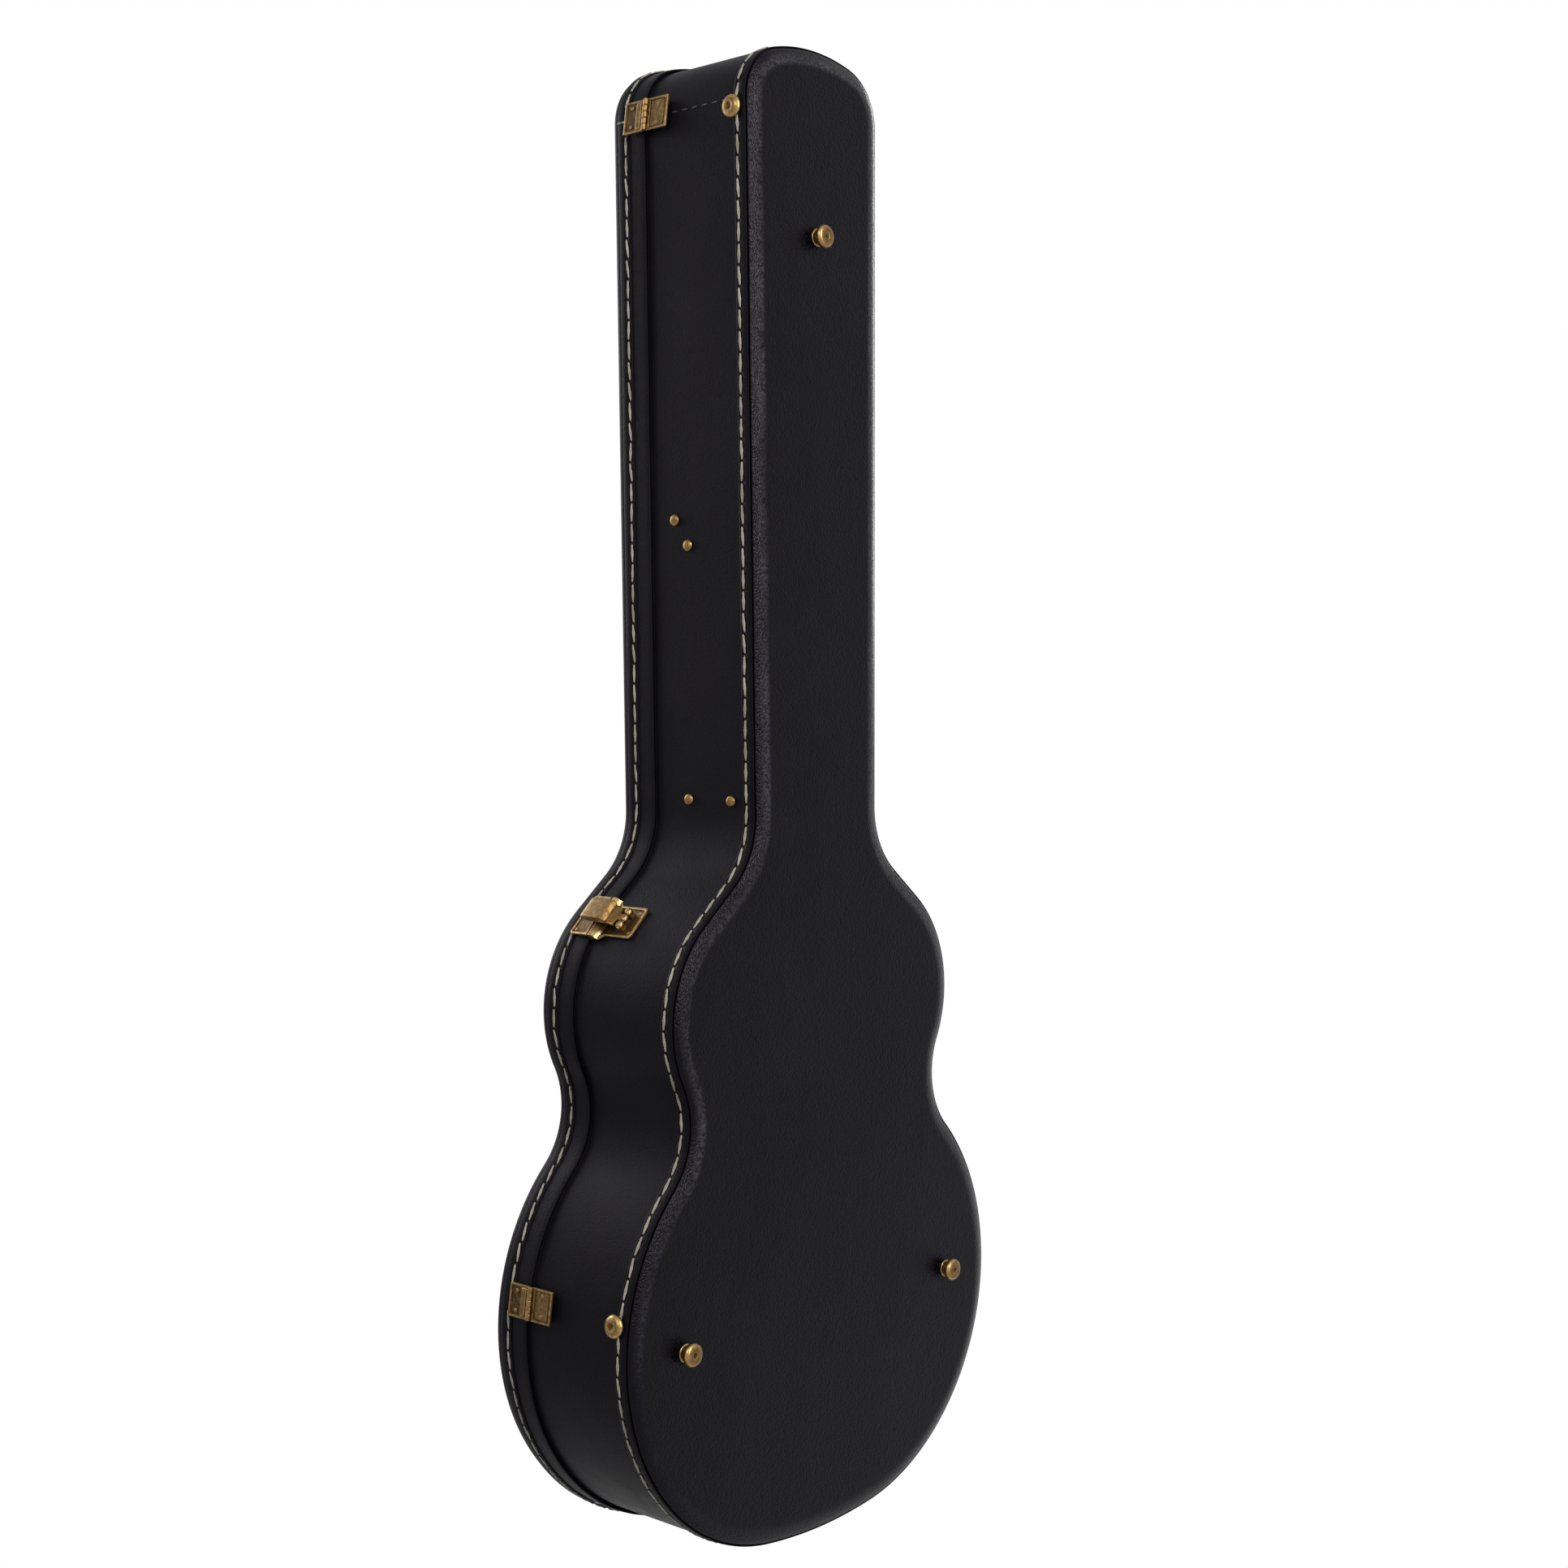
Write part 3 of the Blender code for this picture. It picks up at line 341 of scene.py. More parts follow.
COVER = leathercloth("black_leathercloth", (0.0050, 0.0044, 0.0060), (0.0084, 0.0075, 0.0100),
                     rough=0.46, grain=0.36, seed=0.0, shine=0.033)
# The back panel's last colour is a painted sheen for the highlight along its roll.
PANEL = leathercloth("back_panel_leathercloth", (0.0015, 0.0012, 0.0024), (0.0028, 0.0023, 0.0041),
                     rough=0.24, grain=0.60, seed=3.1, shine=0.080, sheen_colour=(0.052, 0.049, 0.059))
FRONT = leathercloth("front_panel_leathercloth", (0.0087, 0.0077, 0.0103), (0.0113, 0.0102, 0.0133),
                     rough=0.46, grain=0.42, seed=5.2, shine=0.04)
STRIP = leathercloth("edging_leathercloth", (0.0046, 0.0041, 0.0054), (0.0078, 0.0071, 0.0090),
                     rough=0.45, grain=0.40, seed=7.7, shine=0.03)
GRIP = leathercloth("grip_leather", (0.0075, 0.0068, 0.0066), (0.0135, 0.0120, 0.0115),
                    rough=0.40, grain=0.30, seed=12.3, shine=0.20)
BRASS = aged_brass("aged_brass")
THREAD = waxed_thread("cream_thread", (0.36, 0.325, 0.25), (0.15, 0.130, 0.092))
STEEL = drawn_steel("drawn_steel")
PLUSH = plush("wine_plush", (0.040, 0.0045, 0.0075), (0.105, 0.014, 0.020))
FAINT = waxed_thread("dull_thread", (0.028, 0.027, 0.030), (0.013, 0.013, 0.015))

# Base shell.
wall_rows = [(0.0, Z_WALL)] + [(0.0, Z_WALL + (Z_SEAM - Z_WALL) * k / 9) for k in range(1, 9)]
wall_rows += [(0.0, Z_SEAM), (-WALL_T, Z_SEAM), (-WALL_T, Z_WALL)]
wall_rounds = [0.0005] + [0.0] * 8 + [0.0011, 0.0008, 0.0004]
shell("base_wall_cover", soften(wall_rows, wall_rounds), COVER, "base", "base_wall",
      ripple=0.00018, seed=5.0)

ROLL_W, ROLL_H, LIP_R, LIP_TURN, ROLL_EDGE = 0.0130, 0.0035, 0.0009, math.radians(115.0), -0.0009
ROLL_TURN = math.atan(2.0 * ROLL_H / ROLL_W)
start = ROLL_EDGE - LIP_R * (1.0 - math.sin(ROLL_TURN)) - ROLL_W
roll = [(start - 0.0040, Z_BACK)]
roll += [(start + ROLL_W * k / 16, Z_BACK + ROLL_H * (k / 16) ** 2) for k in range(17)]
top_x, top_z = roll[-1]
for k in range(1, 8):
    t = ROLL_TURN + (LIP_TURN - ROLL_TURN) * k / 7
    roll.append((top_x + LIP_R * (math.sin(t) - math.sin(ROLL_TURN)),
                 top_z + LIP_R * (math.cos(ROLL_TURN) - math.cos(t))))
roll += [(-0.0030, Z_WALL - 0.0002), (-0.0052, Z_WALL - 0.0002), (-0.0052, Z_FLOOR)]
roll.reverse()
panel = shell("back_panel_cover", roll, PANEL, "base", "back_panel", closed=False)

# Painted sheen: a pale band where the roll rises from the panel, standing in for the lamp's highlight along
# the roll, with less of it round the tail where that light falls off.
at = np.array([v.co for v in panel.data.vertices])
climb = (at[:, 2] - Z_BACK) / ROLL_H
painted_roll_sheen = np.clip(climb / 0.08, 0.0, 1.0) * np.clip((0.70 - climb) / 0.50, 0.0, 1.0)
painted_roll_sheen *= np.clip((at[:, 1] + 0.46) / 0.20, 0.20, 1.0)
panel.data.attributes.new("painted_roll_sheen", "FLOAT", "POINT").data.foreach_set("value", painted_roll_sheen.astype(np.float32))

edge = GAP + BIND_T
thin = edge - 0.0003
base_strip = [(0.0002, Z_BACK + 0.0046), (thin - 0.0003, Z_BACK + 0.0046), (thin, Z_BACK + 0.0052),
              (thin, Z_BACK + 0.0096), (thin - 0.0003, Z_BACK + 0.0107), (thin - 0.0004, Z_BACK + 0.0119),
              (thin - 0.0003, Z_BACK + 0.0131), (thin, Z_BACK + 0.0141), (thin - 0.0002, Z_BACK + 0.0151),
              (0.0003, Z_BACK + 0.0158), (0.0002, Z_BACK + 0.0156)]
shell("base_edging_strip", base_strip, STRIP, "base", "base_edging")

# Lid shell.
lid_in = LID_PROUD - WALL_T
lip, rebate = LID_PROUD - 0.0013, LID_LOW + 0.0046
lid_rows = [(LID_PROUD, LID_LOW), (LID_PROUD + 0.0003, LID_LOW + 0.004), (LID_PROUD, LID_LOW + 0.009),
            (LID_PROUD, LID_HIGH), (lid_in, LID_HIGH), (lid_in, LID_LOW), (0.0, LID_LOW), (0.0001, rebate),
            (lip - 0.0001, rebate), (lip, LID_LOW)]
lid_rounds = [0.0006, 0.0, 0.0, 0.0004, 0.0004, 0.0004, 0.0003, 0.0002, 0.0002, 0.0005]
shell("lid_wall_cover", soften(lid_rows, lid_rounds), COVER, "lid", "lid_wall",
      ripple=0.00014, seed=11.0)

dome = [(-0.006, LID_HIGH + GAP), (LID_PROUD - 0.0016, LID_HIGH + GAP)]
for k in range(13):
    t = math.radians(-16.0 + 106.0 * k / 12)
    dome.append((LID_PROUD - FRONT_R + (FRONT_R - 0.0006) * math.cos(t), Z_FRONT - FRONT_R + 0.0020
                 + (FRONT_R - 0.0020) * math.sin(t)))
dome += [(-0.0074, Z_FRONT - 0.00008), (-0.0087, Z_FRONT - 0.00032), (-0.0097, Z_FRONT - 0.00042),
         (-0.0107, Z_FRONT - 0.00030), (-0.0122, Z_FRONT - 0.00006), (-0.0140, Z_FRONT), (-0.0160, Z_FRONT)]
shell("front_panel_cover", dome, FRONT, "lid", "front_panel", closed=False)

lid_edge = LID_PROUD + edge
z0, z1, zs = LID_HIGH - 0.0115, LID_HIGH, LID_STITCH_Z
lid_strip = [(LID_PROUD + 0.0002, z0), (LID_PROUD + 0.0003, z0 - 0.0002), (lid_edge - 0.0004, z0 + 0.0006),
             (lid_edge - 0.0001, zs - 0.0016), (lid_edge - 0.0004, zs - 0.0009),
             (lid_edge - 0.0004, zs + 0.0009), (lid_edge, zs + 0.0020), (lid_edge, z1 - 0.0012),
             (lid_edge - 0.0003, z1 - 0.0004), (LID_PROUD + 0.0002, z1 - 0.0002)]
shell("lid_edging_strip", lid_strip, STRIP, "lid", "lid_edging")


def made_from(carrier, name):
    """The plain mesh that a carrier's modifiers make; the carrier goes."""
    made = bpy.data.meshes.new_from_object(carrier.evaluated_get(bpy.context.evaluated_depsgraph_get()))
    made.name = name
    bpy.data.objects.remove(carrier)
    return bpy.data.objects.new(name, made)


def new_tree(name, sockets):
    """A geometry tree with inputs of a label, a kind and a value; their identifiers and its two ends."""
    tree = bpy.data.node_groups.new(name, "GeometryNodeTree")
    face, inputs = tree.interface, {}
    face.new_socket("Geometry", in_out="INPUT", socket_type="NodeSocketGeometry")
    for label, kind, value in sockets:
        socket = face.new_socket(label, in_out="INPUT", socket_type="NodeSocket" + kind)
        if value is not None:
            socket.default_value = value
        inputs[label] = socket.identifier
    face.new_socket("Geometry", in_out="OUTPUT", socket_type="NodeSocketGeometry")
    return tree, inputs, tree.nodes.new("NodeGroupInput").outputs, tree.nodes.new("NodeGroupOutput").inputs[0]


def grow(name, kind, points, edges, outs, **values):
    """What a tree makes on points or paths, each with the way out of the surface, as a plain mesh."""
    tree, inputs = kind
    mesh = bpy.data.meshes.new(name + "_path")
    mesh.from_pydata(points, edges, [])
    way_out = mesh.attributes.new("out", "FLOAT_VECTOR", "POINT")
    way_out.data.foreach_set("vector", np.array(outs, np.float32).ravel())
    carrier = bpy.data.objects.new(name + "_path", mesh)
    scene.collection.objects.link(carrier)
    mod = carrier.modifiers.new("grown", "NODES")
    mod.node_group = tree
    for label, value in values.items():
        mod[inputs[label]] = value
    return made_from(carrier, name)


# Stitches, laid along paths by a node tree.
def stitch_tree():
    sizes = (("Pitch", 0.015), ("Length", 0.012), ("Width", 0.0026), ("Height", 0.0013), ("Lean", 0.05))
    sockets = [(label, "Float", value) for label, value in sizes]
    sockets += [("Seed", "Int", None), ("Thread", "Material", None)]
    tree, inputs, source, result = new_tree("stitch_row", sockets)
    add = adder(tree)

    def calc(operation, a, b):
        return add("ShaderNodeMath", {0: a, 1: b}, operation=operation).outputs[0]

    half = calc("MULTIPLY", source["Length"], 0.5)
    start = add("ShaderNodeCombineXYZ", {"X": calc("MULTIPLY", half, -1.0)}).outputs[0]
    end = add("ShaderNodeCombineXYZ", {"X": half}).outputs[0]
    line = add("GeometryNodeCurvePrimitiveLine", {"Start": start, "End": end}).outputs["Curve"]
    line = add("GeometryNodeResampleCurve", {"Curve": line, "Count": 11}).outputs["Curve"]
    share = add("GeometryNodeSplineParameter").outputs["Factor"]
    off = calc("SUBTRACT", calc("MULTIPLY", share, 2.0), 1.0)
    blunt = calc("POWER", calc("ABSOLUTE", off, 0.0), 8.0)
    body = calc("POWER", calc("SUBTRACT", 1.12, blunt), 0.5)
    radius = calc("MULTIPLY", calc("MULTIPLY", body, source["Width"]), 0.5)
    twist = calc("MULTIPLY", share, 5.2)
    line = add("GeometryNodeSetCurveTilt", {"Curve": line, "Tilt": twist}).outputs["Curve"]
    circle = add("GeometryNodeCurvePrimitiveCircle", {"Resolution": 8, "Radius": 1.0}).outputs["Curve"]
    oval = add("GeometryNodeTransform", {"Geometry": circle, "Scale": (1.0, 0.72, 1.0)}).outputs["Geometry"]
    thread = add("GeometryNodeCurveToMesh", {"Curve": line, "Profile Curve": oval, "Scale": radius,
                                            "Fill Caps": True}).outputs["Mesh"]
    squat = calc("DIVIDE", source["Height"], source["Width"])
    scale = add("ShaderNodeCombineXYZ", {"X": 1.0, "Y": 1.0, "Z": squat}).outputs[0]
    thread = add("GeometryNodeTransform", {"Geometry": thread, "Scale": scale}).outputs["Geometry"]
    path = add("GeometryNodeMeshToCurve", {"Mesh": source["Geometry"]}).outputs["Curve"]
    path = add("GeometryNodeResampleCurve", {"Curve": path, "Length": source["Pitch"]},
               mode="LENGTH").outputs[0]
    way = add("GeometryNodeInputTangent").outputs[0]
    out = add("GeometryNodeInputNamedAttribute", {"Name": "out"}, data_type="FLOAT_VECTOR").outputs[0]
    turn = add("FunctionNodeAxesToRotation", {"Primary Axis": way, "Secondary Axis": out},
               primary_axis="X", secondary_axis="Z").outputs[0]
    lean = source["Lean"]
    yaw = add("FunctionNodeRandomValue", {"Seed": source["Seed"]}, data_type="FLOAT")
    least, most = [s for s in yaw.inputs if s.name in ("Min", "Max") and s.type == "VALUE"][:2]
    tree.links.new(calc("MULTIPLY", lean, -0.4), least)
    tree.links.new(lean, most)
    drawn = [s for s in yaw.outputs if s.type == "VALUE" and s.enabled][0]
    spin = add("ShaderNodeCombineXYZ", {"Z": drawn}).outputs[0]
    turn = add("FunctionNodeRotateRotation", {"Rotation": turn, "Rotate By": spin},
               rotation_space="LOCAL").outputs[0]
    rows = add("GeometryNodeInstanceOnPoints", {"Points": path, "Instance": thread,
                                                "Rotation": turn}).outputs[0]
    rows = add("GeometryNodeRealizeInstances", {"Geometry": rows}).outputs[0]
    rows = add("GeometryNodeSetMaterial", {"Geometry": rows, "Material": source["Thread"]}).outputs[0]
    tree.links.new(rows, result)
    return tree, inputs


STITCHES = stitch_tree()


def stitch_row(name, paths, body, slot, thread, **sizes):
    """Stitches along paths; each path is rows of points with the way out of the surface."""
    points, edges, outs = [], [], []
    for path in paths:
        first = len(points)
        points += [tuple(p) for p, _ in path]
        outs += [tuple(o) for _, o in path]
        edges += [(first + i, first + i + 1) for i in range(len(path) - 1)]
    return dress(grow(name, STITCHES, points, edges, outs, Thread=thread, **sizes), thread, body)


def outline_path(off, z, breaks):
    """Stretches of the outline outside the breaks; a break is a point and the half length left clear."""
    pts = ring(off, z)
    keep = np.ones(len(pts), bool)
    for x, y, reach in breaks:
        keep &= np.hypot(pts[:, 0] - x, pts[:, 1] - y) > reach
    start = int(np.argmin(keep)) if not keep.all() else 0
    paths, run = [], []
    for i in list(range(start, len(pts))) + list(range(start + 1)):
        if keep[i]:
            run.append((pts[i], (*OUT_N[i], 0.0)))
        elif run:
            paths.append(run)
            run = []
    if run:
        paths.append(run)
    return [p for p in paths if len(p) > 3]


def middle(node):
    lo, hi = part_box(node)
    return (lo + hi) / 2


base_breaks = [(*middle(n).xy, 0.0092) for n in ("edge_foot_head", "edge_foot_tail")]
lid_breaks = [(*middle("hinge_lid_leaf_" + e).xy, 0.0150) for e in ("head", "tail")]
lid_breaks += [(*middle(n).xy, 0.0190) for n in nodes if n.startswith("latch_strike")]
stitch_row("base_stitches", outline_path(thin + 0.0001, BASE_STITCH_Z, base_breaks), "base",
           "stitched_edging", THREAD, Seed=3, Pitch=0.0150, Length=0.0136, Width=0.0025, Lean=0.10)
stitch_row("lid_stitches", outline_path(lid_edge + 0.0001, LID_STITCH_Z, lid_breaks), "lid",
           "stitched_edging", THREAD, Seed=8, Pitch=0.0146, Length=0.0133, Width=0.0022, Lean=0.16)

# Fittings. Each is made in its own axes: X along the wall, Y up, Z out of the wall.
JOINTS = {j["name"]: j for j in frame["record"]["behaviour"]["joints"]}


def stand(point, along, out):
    x, z = Vector(along).normalized(), Vector(out).normalized()
    return Matrix.Translation(Vector(point)) @ Matrix((x, z.cross(x), z)).transposed().to_4x4()


def inset(points, d):
    """Flat loop, counter-clockwise, moved inwards by d; corners rounder than d close up to a point."""
    p = np.array(points, float)
    n = len(p)
    way = np.roll(p, -1, 0) - p
    way /= np.linalg.norm(way, axis=1)[:, None]
    inward = np.stack([-way[:, 1], way[:, 0]], 1)
    before = np.roll(inward, 1, 0)
    q = p + (before + inward) / np.maximum(0.3, 1.0 + (before * inward).sum(1))[:, None] * d
    turned = ((np.roll(q, -1, 0) - q) * way).sum(1) < 0.0
    for k in range(n):
        if turned[k] and not turned[k - 1]:
            last = k
            while turned[(last + 1) % n]:
                last += 1
            a, b = (k - 1) % n, (last + 1) % n
            start, goal = p[k] + inward[a] * d, p[b] + inward[b] * d
            run = np.linalg.solve(np.stack([way[a], -way[b]], 1), goal - start)
            for m in range(k, last + 2):
                q[m % n] = start + way[a] * run[0]
    return [tuple(v) for v in q]


def box_loop(x0, x1, y0, y1, r=0.0006):
    return soften([(x0, y0), (x1, y0), (x1, y1), (x0, y1)], [r] * 4, 3)


class Shape:
    """Closed shells gathered into one piece."""

    def __init__(self):
        self.verts, self.faces = [], []

    def loft(self, rings, where=Matrix()):
        n, first = len(rings[0]), len(self.verts)
        for k in range(len(rings) - 1):
            a, b = first + k * n, first + (k + 1) * n
            self.faces += [(a + i, a + (i + 1) % n, b + (i + 1) % n, b + i) for i in range(n)]
        last = first + (len(rings) - 1) * n
        self.faces += [tuple(range(first + n - 1, first - 1, -1)), tuple(range(last, last + n))]
        self.verts += [where @ Vector(v) for r in rings for v in r]
        return self

    def stack(self, points, levels, where=Matrix()):
        """A flat loop carried up through levels of (inset, height)."""
        return self.loft([[(x, y, z) for x, y in inset(points, d)] for d, z in levels], where)

    def block(self, points, z0, z1, r, where=Matrix()):
        levels = [(0.0, z0), (0.0, z1 - r), (r * 0.13, z1 - r * 0.5), (r * 0.5, z1 - r * 0.13), (r, z1),
                  (r + 0.0002, z1)]
        return self.stack(points, levels, where)

    def rimmed(self, points, z0, z1, rim, sink):
        """Plate with a raised, rounded rim and a sunk middle."""
        b = 0.0003
        levels = [(0.0, z0), (0.0, z1 - b), (b * 0.3, z1 - b * 0.3), (b, z1), (rim - b, z1),
                  (rim, z1 - b * 0.4), (rim + b, z1 - sink + b * 0.3), (rim + 2 * b, z1 - sink),
                  (rim + 3 * b, z1 - sink)]
        return self.stack(points, levels)

    def turned(self, profile, sides, where=Matrix()):
        """Solid of revolution about Z from (radius, height) pairs."""
        steps = [2.0 * math.pi * i / sides for i in range(sides)]
        return self.loft([[(max(r, 0.00004) * math.cos(t), max(r, 0.00004) * math.sin(t), z) for t in steps]
                          for r, z in profile], where)

    def barrel(self, x0, x1, y, z, r, round_end, sides=20):
        """Round bar along X with rounded ends."""
        e = round_end
        ends = [(r - e, 0.0), (r - e * 0.45, e * 0.12), (r - e * 0.12, e * 0.45), (r, e)]
        profile = [(0.0, 0.0)] + ends + [(a, x1 - x0 - b) for a, b in ends[::-1]] + [(0.0, x1 - x0)]
        turn = Matrix.Translation((x0, y, z)) @ Matrix.Rotation(math.pi / 2, 4, "Y")
        return self.turned(profile, sides, turn)

    def piece(self, name, where, material, body, slot, stands_for=()):
        return mesh_piece(name, [where @ v for v in self.verts], self.faces, material, body, stands_for)


def rub(obj, gain=2.2, least=0.0, crest=None):
    """Marks the edges that stand out, and all above a crest, where hands and cloth rub the patina off."""
    mesh = obj.data
    n = len(mesh.vertices)
    co, no = np.empty(n * 3), np.empty(n * 3)
    mesh.vertices.foreach_get("co", co)
    mesh.vertices.foreach_get("normal", no)
    co, no = co.reshape(-1, 3), no.reshape(-1, 3)
    ends = np.empty(len(mesh.edges) * 2, np.int32)
    mesh.edges.foreach_get("vertices", ends)
    a, b = ends.reshape(-1, 2).T
    way = co[a] - co[b]
    way /= np.maximum(np.linalg.norm(way, axis=1), 1e-9)[:, None]
    total = np.bincount(a, (no[a] * way).sum(1), n) - np.bincount(b, (no[b] * way).sum(1), n)
    worn = total / np.maximum(np.bincount(ends, minlength=n), 1) * gain + least
    if crest:
        where, level, share = crest
        worn += share * (co @ np.array(where.inverted())[2, :3] + where.inverted()[2][3] > level)
    worn = np.clip(worn, -0.2, 1.0)
    layer = mesh.attributes.new("rubbed", "FLOAT", "POINT")
    layer.data.foreach_set("value", worn.astype(np.float32))
    return obj


def edged(obj, angle=0.6):
    """Sharp where faces meet at more than an angle, smooth elsewhere."""
    obj.data.set_sharp_from_angle(angle=angle)
    return obj


def brass(shape, name, where, body, stands_for, gain, least, crest=None):
    """A brass fitting from a shape, with its patina rubbed."""
    return rub(shape.piece(name, where, BRASS, body, "aged_brass", stands_for), gain, least, crest)


def eased(name, node, width, material, body):
    """A copy of a solid with its sharp edges rounded over."""
    bm = bmesh.new()
    bm.from_mesh(nodes[node].data)
    bmesh.ops.remove_doubles(bm, verts=bm.verts, dist=0.00001)
    bmesh.ops.dissolve_limit(bm, angle_limit=0.02, verts=bm.verts, edges=bm.edges)
    sharp = [e for e in bm.edges if len(e.link_faces) == 2 and e.calc_face_angle(0.0) > 0.55]
    bmesh.ops.bevel(bm, geom=sharp, offset=width, segments=2, profile=0.6, affect="EDGES", clamp_overlap=True)
    bmesh.ops.triangulate(bm, faces=[f for f in bm.faces if len(f.verts) > 4])
    mesh = bpy.data.meshes.new(name)
    bm.to_mesh(mesh)
    bm.free()
    return edged(rub(dress(bpy.data.objects.new(name, mesh), material, body, [node])))


def wall_stand(node, off):
    """Where a round fitting stands on the wall: nearest place of the outline, Z out of it."""
    m = middle(node)
    flat = OUT_P + OUT_N * off
    i = int(np.argmin(np.hypot(flat[:, 0] + CENTRE_X - m.x, flat[:, 1] - m.y)))
    out = Vector((*OUT_N[i], 0.0))
    gone = (Vector((flat[i, 0] + CENTRE_X, flat[i, 1], 0.0)) - Vector((m.x, m.y, 0.0))).dot(out)
    return stand(Vector((m.x, m.y, m.z)) + out * gone, UP, out)


# Cup feet under the back and dimpled edge feet.
CUP_R, CUP_H = 0.0085, 0.0097
cup = [(0.0, 0.0012), (0.0010, 0.0010), (0.0018, 0.0005), (0.0025, 0.0001), (0.0033, 0.0), (0.0056, 0.0),
       (0.0067, 0.0003), (0.0077, 0.0010), (0.0083, 0.0020), (CUP_R, 0.0030), (0.0084, 0.0040),
       (0.0079, 0.0047), (0.0069, 0.0051), (0.0054, 0.0053), (0.0046, 0.0056), (0.0043, 0.0062),
       (0.0043, 0.0080), (0.0048, 0.0086), (0.0062, 0.0089), (0.0066, 0.0092), (0.0066, CUP_H), (0.0, CUP_H)]
for node in [n for n in nodes if n.startswith("back_foot")]:
    m = middle(node)
    where = Matrix.Translation((m.x, m.y, 0.0))
    brass(Shape().turned(cup, 36), node + "_cup", where, "base", [node], gain=5.0, least=0.10)
stud = [(0.0, 0.0), (0.0066, 0.0), (0.0076, 0.0006), (0.0082, 0.0015), (0.0081, 0.0024), (0.0075, 0.0036),
        (0.0064, 0.0046), (0.0051, 0.0052), (0.0040, 0.0055), (0.0030, 0.0054), (0.0022, 0.0050),
        (0.0013, 0.0045), (0.0, 0.0043)]
for node in ("edge_foot_head", "edge_foot_tail"):
    where = wall_stand(node, GAP + BIND_T + GAP)
    brass(Shape().turned(stud, 32), node + "_stud", where, "base", [node], gain=6.0, least=0.0)


# Rivets, set on points by a node tree.
def rivet_tree():
    sockets = [("Rivet", "Object", None), ("Metal", "Material", None), ("Size", "Float", None)]
    tree, inputs, source, result = new_tree("rivet_row", sockets)
    add = adder(tree)
    head = add("GeometryNodeObjectInfo", {"Object": source["Rivet"]}).outputs["Geometry"]
    out = add("GeometryNodeInputNamedAttribute", {"Name": "out"}, data_type="FLOAT_VECTOR").outputs[0]
    turn = add("FunctionNodeAlignRotationToVector", {"Vector": out}, axis="Z").outputs[0]
    rows = add("GeometryNodeInstanceOnPoints", {"Points": source["Geometry"], "Instance": head,
                                                "Rotation": turn, "Scale": source["Size"]}).outputs[0]
    rows = add("GeometryNodeRealizeInstances", {"Geometry": rows}).outputs[0]
    rows = add("GeometryNodeSetMaterial", {"Geometry": rows, "Material": source["Metal"]}).outputs[0]
    tree.links.new(rows, result)
    return tree, inputs


WALL_RIVET_R, PLATE_RIVET_R = 0.0044, 0.0015
RIVETS = rivet_tree()
rivet_dome = [(0.0, -0.0004), (0.90, -0.0004), (1.0, 0.03), (0.98, 0.14), (0.90, 0.28), (0.75, 0.41),
              (0.54, 0.50), (0.28, 0.55), (0.0, 0.56)]
rivet_head = brass(Shape().turned(rivet_dome, 16), "rivet_head", Matrix(), "base", (), gain=2.2, least=0.22)


def rivet_row(name, places, size, body, stands_for=()):
    """Domed rivets of one size; each place is a point and the way out of the surface."""
    points, outs = [tuple(p) for p, _ in places], [tuple(o) for _, o in places]
    made = grow(name, RIVETS, points, [], outs, Rivet=rivet_head, Metal=BRASS, Size=size)
    return dress(made, BRASS, body, stands_for)


wall_rivets = [n for n in nodes if "rivet" in n]
stands = [wall_stand(n, GAP) for n in wall_rivets]
places = [(w.translation, w.to_3x3().col[2]) for w in stands]
rivet_row("wall_rivets", places, WALL_RIVET_R, "base", wall_rivets)
small = {"base": [], "lid": []}

# Hinges: rimmed leaves, a raised band beside the knuckles, and the knuckles in turn from each leaf.
HINGE_HALF, LEAF_LONG, LEAF_BACK, KNUCKLE = 0.01175, 0.0215, -0.0022, 0.0019
LEAF_RIM, LEAF_SINK = 0.0017, 0.0007
hinge_way = Vector(JOINTS["lid_hinge"]["axis"])
hinge_out = hinge_way.cross(UP)
for end in ("head", "tail"):
    where = stand(middle("hinge_pin_" + end), hinge_way, hinge_out)
    fifth = HINGE_HALF * 0.4
    for side, body, front, screw_y in ((1, "lid", -0.0002, 0.0140), (-1, "base", -0.0006, -0.0118)):
        ys = sorted((side * 0.0022, side * LEAF_LONG))
        leaf = Shape().rimmed(box_loop(-HINGE_HALF, HINGE_HALF, *ys), LEAF_BACK, front, LEAF_RIM, LEAF_SINK)
        if body == "lid":
            band = box_loop(-0.0100, 0.0100, 0.0042, 0.0092, 0.0012)
            leaf.block(band, front - 0.0008, front + 0.0006, 0.0009)
            spans = [(-1.5, -0.5), (0.5, 1.5)]
        else:
            field = box_loop(-0.0094, 0.0094, -0.0182, -0.0054, 0.0016)
            leaf.block(field, front - 0.0008, front - 0.0003, 0.0003)
            spans = [(-2.5, -1.5), (-0.5, 0.5), (1.5, 2.5)]
        for a, b in spans:
            a, b = a * fifth + 0.0001, b * fifth - 0.0001
            leaf.barrel(a, b, 0.0, 0.0, KNUCKLE, 0.0004)
            leaf.block(box_loop(a, b, *sorted((side * 0.0006, side * 0.0030)), 0.0002), LEAF_BACK + 0.0001,
                       front - 0.0001, 0.0002)
        name = "hinge_" + body + "_leaf_" + end
        edged(brass(leaf, name + "_plate", where, body, [name], gain=2.2, least=-0.13,
                    crest=(where, front - 0.0004, 0.31)))
        small[body] += [(where @ Vector((x, screw_y, front - 0.0006)), hinge_out) for x in (-0.0070, 0.0070)]
    packer = "hinge_packer_" + end
    eased(packer + "_cover", packer, 0.0006, COVER, "base")

